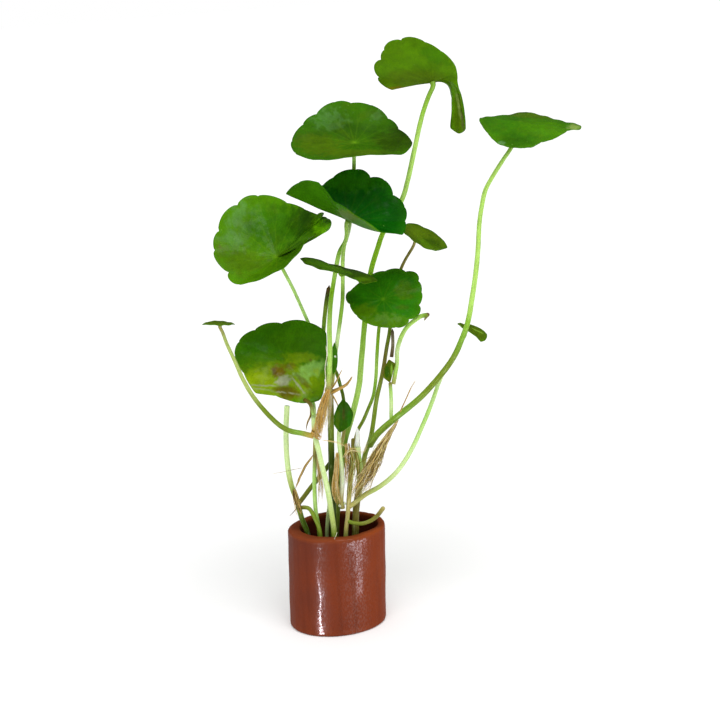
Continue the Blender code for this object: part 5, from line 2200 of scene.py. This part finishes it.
TUFTS = (
    Tuft(
        "roots_of_main_node",
        route=((329, 389, -6.6), (324.5, 402, -7.2), (320.5, 420, -9.0), (317.5, 439, -11.0)),
        strands=110, spread=(0.7, 1.3, 1.3, 1.2), thickness=(0.10, 0.28), reach=(0.7, 1.0), wander=0.8,
        hues=(Hue.ROOT_TAN, Hue.ROOT_STRAW, Hue.ROOT_TAN, Hue.ROOT_ORANGE, Hue.ROOT_DARK),
        strays=0.06, stands_for=("roots_main_node",),
    ),
    Tuft(
        "pale_hairs_of_main_node",
        route=((331, 392, -5.6), (330, 408, -6.0), (327.5, 424, -6.5), (326, 440, -6.8)),
        strands=14, spread=(0.5, 0.8, 0.9), thickness=(0.08, 0.15), reach=(0.5, 1.0), wander=0.5,
        hues=(Hue.ROOT_WHITE, Hue.ROOT_STRAW), strays=0.2,
    ),
    Tuft(
        "roots_beside_main_node",
        route=((330.4, 393, -4.9), (338.4, 389, -5.6), (347.0, 384, -6.5), (352.7, 375.5, -7)),
        strands=26, spread=(0.7, 0.42, 0.35, 0.12), thickness=(0.14, 0.34), reach=(0.8, 1.0), wander=0.16,
        hues=(Hue.ROOT_TAN, Hue.ROOT_ORANGE, Hue.ROOT_DARK), stands_for=("roots_main_spur",), strays=0.0,
    ),
    Tuft(
        "second_prong_of_main_node",
        route=((331.0, 389, -5.2), (335.5, 382, -5.8), (339.5, 374, -6.2), (343.8, 366.5, -6.4)),
        strands=7, spread=(0.35, 0.2, 0.05), thickness=(0.12, 0.28), reach=(0.8, 1.0), wander=0.12,
        hues=(Hue.ROOT_TAN, Hue.ROOT_DARK), strays=0.0,
    ),
    Tuft(
        "dark_prong_of_main_node",
        route=((331.5, 394, -5.2), (334.5, 399, -5.6), (337.0, 404, -5.8), (338.4, 409, -6)),
        strands=7, spread=(0.35, 0.3, 0.08), thickness=(0.14, 0.30), reach=(0.8, 1.0), wander=0.1,
        hues=(Hue.ROOT_DARK, Hue.ROOT_TAN), strays=0.0,
    ),
    Tuft(
        "white_root_by_the_stalk",
        route=(
            (325.9, 345, -5.6), (326.8, 355, -5.7), (325.0, 368, -5.8), (325.6, 380, -5.8),
            (322.8, 397, -6),
        ),
        strands=2, spread=(0.06, 0.12), thickness=(0.14, 0.20), reach=(0.95, 1.0), wander=0.1,
        hues=(Hue.ROOT_WHITE,), strays=0.0,
    ),
    Tuft(
        "root_by_the_decaying_stalk",
        route=((310.5, 404, -1), (310.8, 415, -3), (307.8, 422, -4), (306.0, 431, -4.5)),
        strands=8, spread=(0.3, 0.3, 0.25, 0.08), thickness=(0.12, 0.30), reach=(0.85, 1.0), wander=0.15,
        hues=(Hue.ROOT_DARK, Hue.ROOT_TAN), strays=0.0,
    ),
    Tuft(
        "hairs_across_the_stems",
        route=((320, 440, -10.2), (333, 442, -10.4), (345, 446, -10.4), (354, 450, -9.5)),
        strands=3, spread=(0.1, 0.5, 0.3), thickness=(0.10, 0.16), reach=(0.85, 1.0), wander=0.4,
        hues=(Hue.ROOT_TAN, Hue.ROOT_STRAW), strays=0.0,
    ),
    Tuft(
        "looping_hairs_at_the_stump",
        route=((343, 458, -8.5), (349, 450, -8.8), (357, 449, -9), (363, 451, -8.6), (367, 440, -8.2)),
        strands=6, spread=(0.3, 0.9, 0.5), thickness=(0.09, 0.16), reach=(0.7, 1.0), wander=0.9,
        hues=(Hue.ROOT_STRAW, Hue.ROOT_WHITE, Hue.ROOT_TAN), strays=0.0,
    ),
    Tuft(
        "roots_between_the_stems",
        route=((337, 452, -7.6), (336.5, 470, -8), (335.5, 490, -8.4), (340, 508, -8.2)),
        strands=46, spread=(0.5, 0.9, 1.3, 0.8), thickness=(0.10, 0.26), reach=(0.6, 1.0), wander=0.4,
        hues=(Hue.ROOT_STRAW, Hue.ROOT_TAN, Hue.ROOT_ORANGE, Hue.ROOT_DARK), strays=0.05,
    ),
    Tuft(
        "roots_behind_the_low_leaf",
        route=((347, 442, -5), (348, 455, -5.5), (347, 470, -6), (346, 486, -6.5)),
        strands=30, spread=(0.8, 1.2, 0.9, 0.5), thickness=(0.10, 0.24), reach=(0.6, 1.0), wander=0.4,
        hues=(Hue.ROOT_ORANGE, Hue.ROOT_DARK, Hue.RUST, Hue.ROOT_TAN), strays=0.05,
    ),
    Tuft(
        "roots_among_the_left_stems",
        route=((318, 452, -5.5), (319, 470, -6), (321, 488, -6.5), (320, 506, -6.8)),
        strands=26, spread=(0.3, 0.7, 1.0, 0.7), thickness=(0.10, 0.24), reach=(0.6, 1.0), wander=0.35,
        hues=(Hue.ROOT_STRAW, Hue.ROOT_TAN, Hue.ROOT_DARK), strays=0.05,
    ),
    Tuft(
        "roots_at_the_right",
        route=(
            (398.5, 419.5, -6.3), (389, 434, -7.8), (380.5, 449, -8.4), (373, 464, -8.8),
            (364, 481, -9), (353, 499, -9.4),
        ),
        strands=170, spread=(0.15, 0.7, 1.7, 2.3, 2.2, 1.5), thickness=(0.10, 0.28), reach=(0.6, 1.0),
        wander=1.0, stands_for=("roots_right_tuft",), strays=0.08,
        hues=(Hue.ROOT_DARK, Hue.ROOT_TAN, Hue.BARK, Hue.STRAW, Hue.ROOT_DARK, Hue.ROOT_STRAW),
    ),
    Tuft(
        "roots_in_front_of_the_stump",
        route=((352, 446, -6.6), (355, 462, -7.2), (354, 480, -8), (350, 500, -9)),
        strands=30, spread=(0.9, 1.5, 1.9, 1.4), thickness=(0.10, 0.24), reach=(0.5, 1.0), wander=1.2,
        hues=(Hue.ROOT_TAN, Hue.HAY, Hue.RUST, Hue.ROOT_STRAW), strays=0.1,
    ),
    Tuft(
        "twig_of_the_right_roots",
        route=((372, 473, -9), (376.5, 469, -9.2), (381.5, 464.5, -9.2)),
        strands=4, spread=(0.25, 0.1), thickness=(0.10, 0.2), reach=(0.8, 1.0), wander=0.1,
        hues=(Hue.ROOT_DARK, Hue.ROOT_TAN), strays=0.0,
    ),
    Tuft(
        "tail_of_the_right_roots",
        route=((399.6, 413, -6.3), (405.8, 399, -8), (412, 386, -8.5), (418.4, 376, -8.5)),
        strands=4, spread=(0.2, 0.1), thickness=(0.12, 0.22), reach=(0.8, 1.0), wander=0.2,
        stands_for=("root_right_tail",), strays=0.0,
    ),
    Tuft(
        "long_left_roots",
        route=(
            (313.6, 455, -9.3), (309, 461, -9), (304.5, 467.5, -8.5), (297.6, 483, -6), (295, 489, -4),
        ),
        strands=16, spread=(0.15, 0.3, 0.35, 0.2), stands_for=("root_left_long",), wander=0.2,
        thickness=(0.12, 0.30), reach=(0.7, 1.0), hues=(Hue.ROOT_TAN, Hue.ROOT_DARK, Hue.ROOT_ORANGE),
        strays=0.0,
    ),
    Tuft(
        "hair_of_the_left_roots",
        route=((303.5, 467.5, -8.3), (291.5, 470, -8.5), (280, 472.5, -8.5), (270, 474, -8.5)),
        strands=3, spread=(0.1, 0.15), thickness=(0.10, 0.16), reach=(0.85, 1.0), wander=0.2,
        hues=(Hue.TAUPE, Hue.ROOT_STRAW), stands_for=("root_left_hair",), strays=0.0,
    ),
    Tuft(
        "roots_at_the_left_node",
        route=((294, 489, -4.2), (296, 498, -4.6), (299, 508, -4.8), (302, 516, -5)),
        strands=34, spread=(0.5, 1.0, 1.1, 0.5), thickness=(0.12, 0.32), reach=(0.5, 1.0), wander=0.35,
        hues=(Hue.ROOT_DARK, Hue.BARK, Hue.ROOT_TAN), strays=0.15,
    ),
    Tuft(
        "spike_of_the_left_node",
        route=((297, 508, -4.2), (293, 512.5, -4.6), (289.0, 516.8, -4.8)),
        strands=4, spread=(0.25, 0.06), thickness=(0.12, 0.24), reach=(0.8, 1.0), wander=0.1,
        hues=(Hue.BARK, Hue.ROOT_DARK), strays=0.0,
    ),
    Tuft(
        "roots_of_the_tiny_node",
        route=((311, 431, -9.4), (315, 433.5, -9.8), (319, 437, -9.8), (322, 438, -9.6)),
        strands=30, spread=(0.6, 0.9, 0.8, 0.4), thickness=(0.14, 0.34), reach=(0.6, 1.0), wander=0.3,
        hues=(Hue.ROOT_ORANGE, Hue.ROOT_ORANGE, Hue.RUST, Hue.ROOT_TAN), strays=0.0,
    ),
    Tuft(
        "hair_over_the_rim",
        route=((337.2, 531.5, -11.4), (336.2, 535, -13), (334.6, 538.5, -14.6), (334.0, 543, -15.2)),
        strands=2, spread=(0.05, 0.1), thickness=(0.12, 0.18), reach=(0.95, 1.0), wander=0.1,
        hues=(Hue.ROOT_WHITE,), strays=0.0,
    ),
)


def main() -> None:
    """Builds every piece in order."""
    logging.basicConfig(level=logging.INFO, format="%(name)s: %(message)s")
    Studio().build()
    Bench.deliver(ClayRing().build(), "ring_of_fired_clay", ClayFinish().make(), Slot.CLAY, ("clay_ring",))
    blades = {blade.name: blade for blade in BLADES}
    skins = {
        Slot.GREEN_BLADE: BladeFinish(Slot.GREEN_BLADE).make(),
        Slot.DARK_BLADE: BladeFinish(Slot.DARK_BLADE, polish=0.12, moss=0.06).make(),
        Slot.DECAYED_BLADE: BladeFinish(Slot.DECAYED_BLADE, polish=0.2, moss=0.1).make(),
        Slot.STALK: StemFinish(Slot.STALK).make(),
        Slot.OLD_STALK: StemFinish(Slot.OLD_STALK, roughness=0.42, glow=0.15).make(),
        Slot.PALE_STALK: StemFinish(Slot.PALE_STALK, streak=Hue.LIME, speckle=Hue.IVORY).make(),
        Slot.DEAD_STALK: StemFinish(Slot.DEAD_STALK, roughness=0.65, glow=0.0, ridge_mm=0.14).make(),
        Slot.ROOT: StemFinish(
            Slot.ROOT, roughness=0.6, streak=Hue.ROOT_DARK, streak_share=0.15,
            speckle=Hue.ROOT_STRAW, glow=0.1,
        ).make(),
    }
    for blade in BLADES:
        Bench.deliver(blade.build(), blade.name + "_fine", skins[blade.slot], blade.slot, (blade.name,))
    for stem in STEMS:
        stands_for = (stem.name,) if stem.stands_for is None else stem.stands_for
        Bench.deliver(stem.build(blades), stem.name + "_fine", skins[stem.slot], stem.slot, stands_for)
    for tuft in TUFTS:
        Bench.deliver(tuft.build(), tuft.name, skins[Slot.ROOT], Slot.ROOT, tuft.stands_for)


if __name__ == "__main__":
    main()
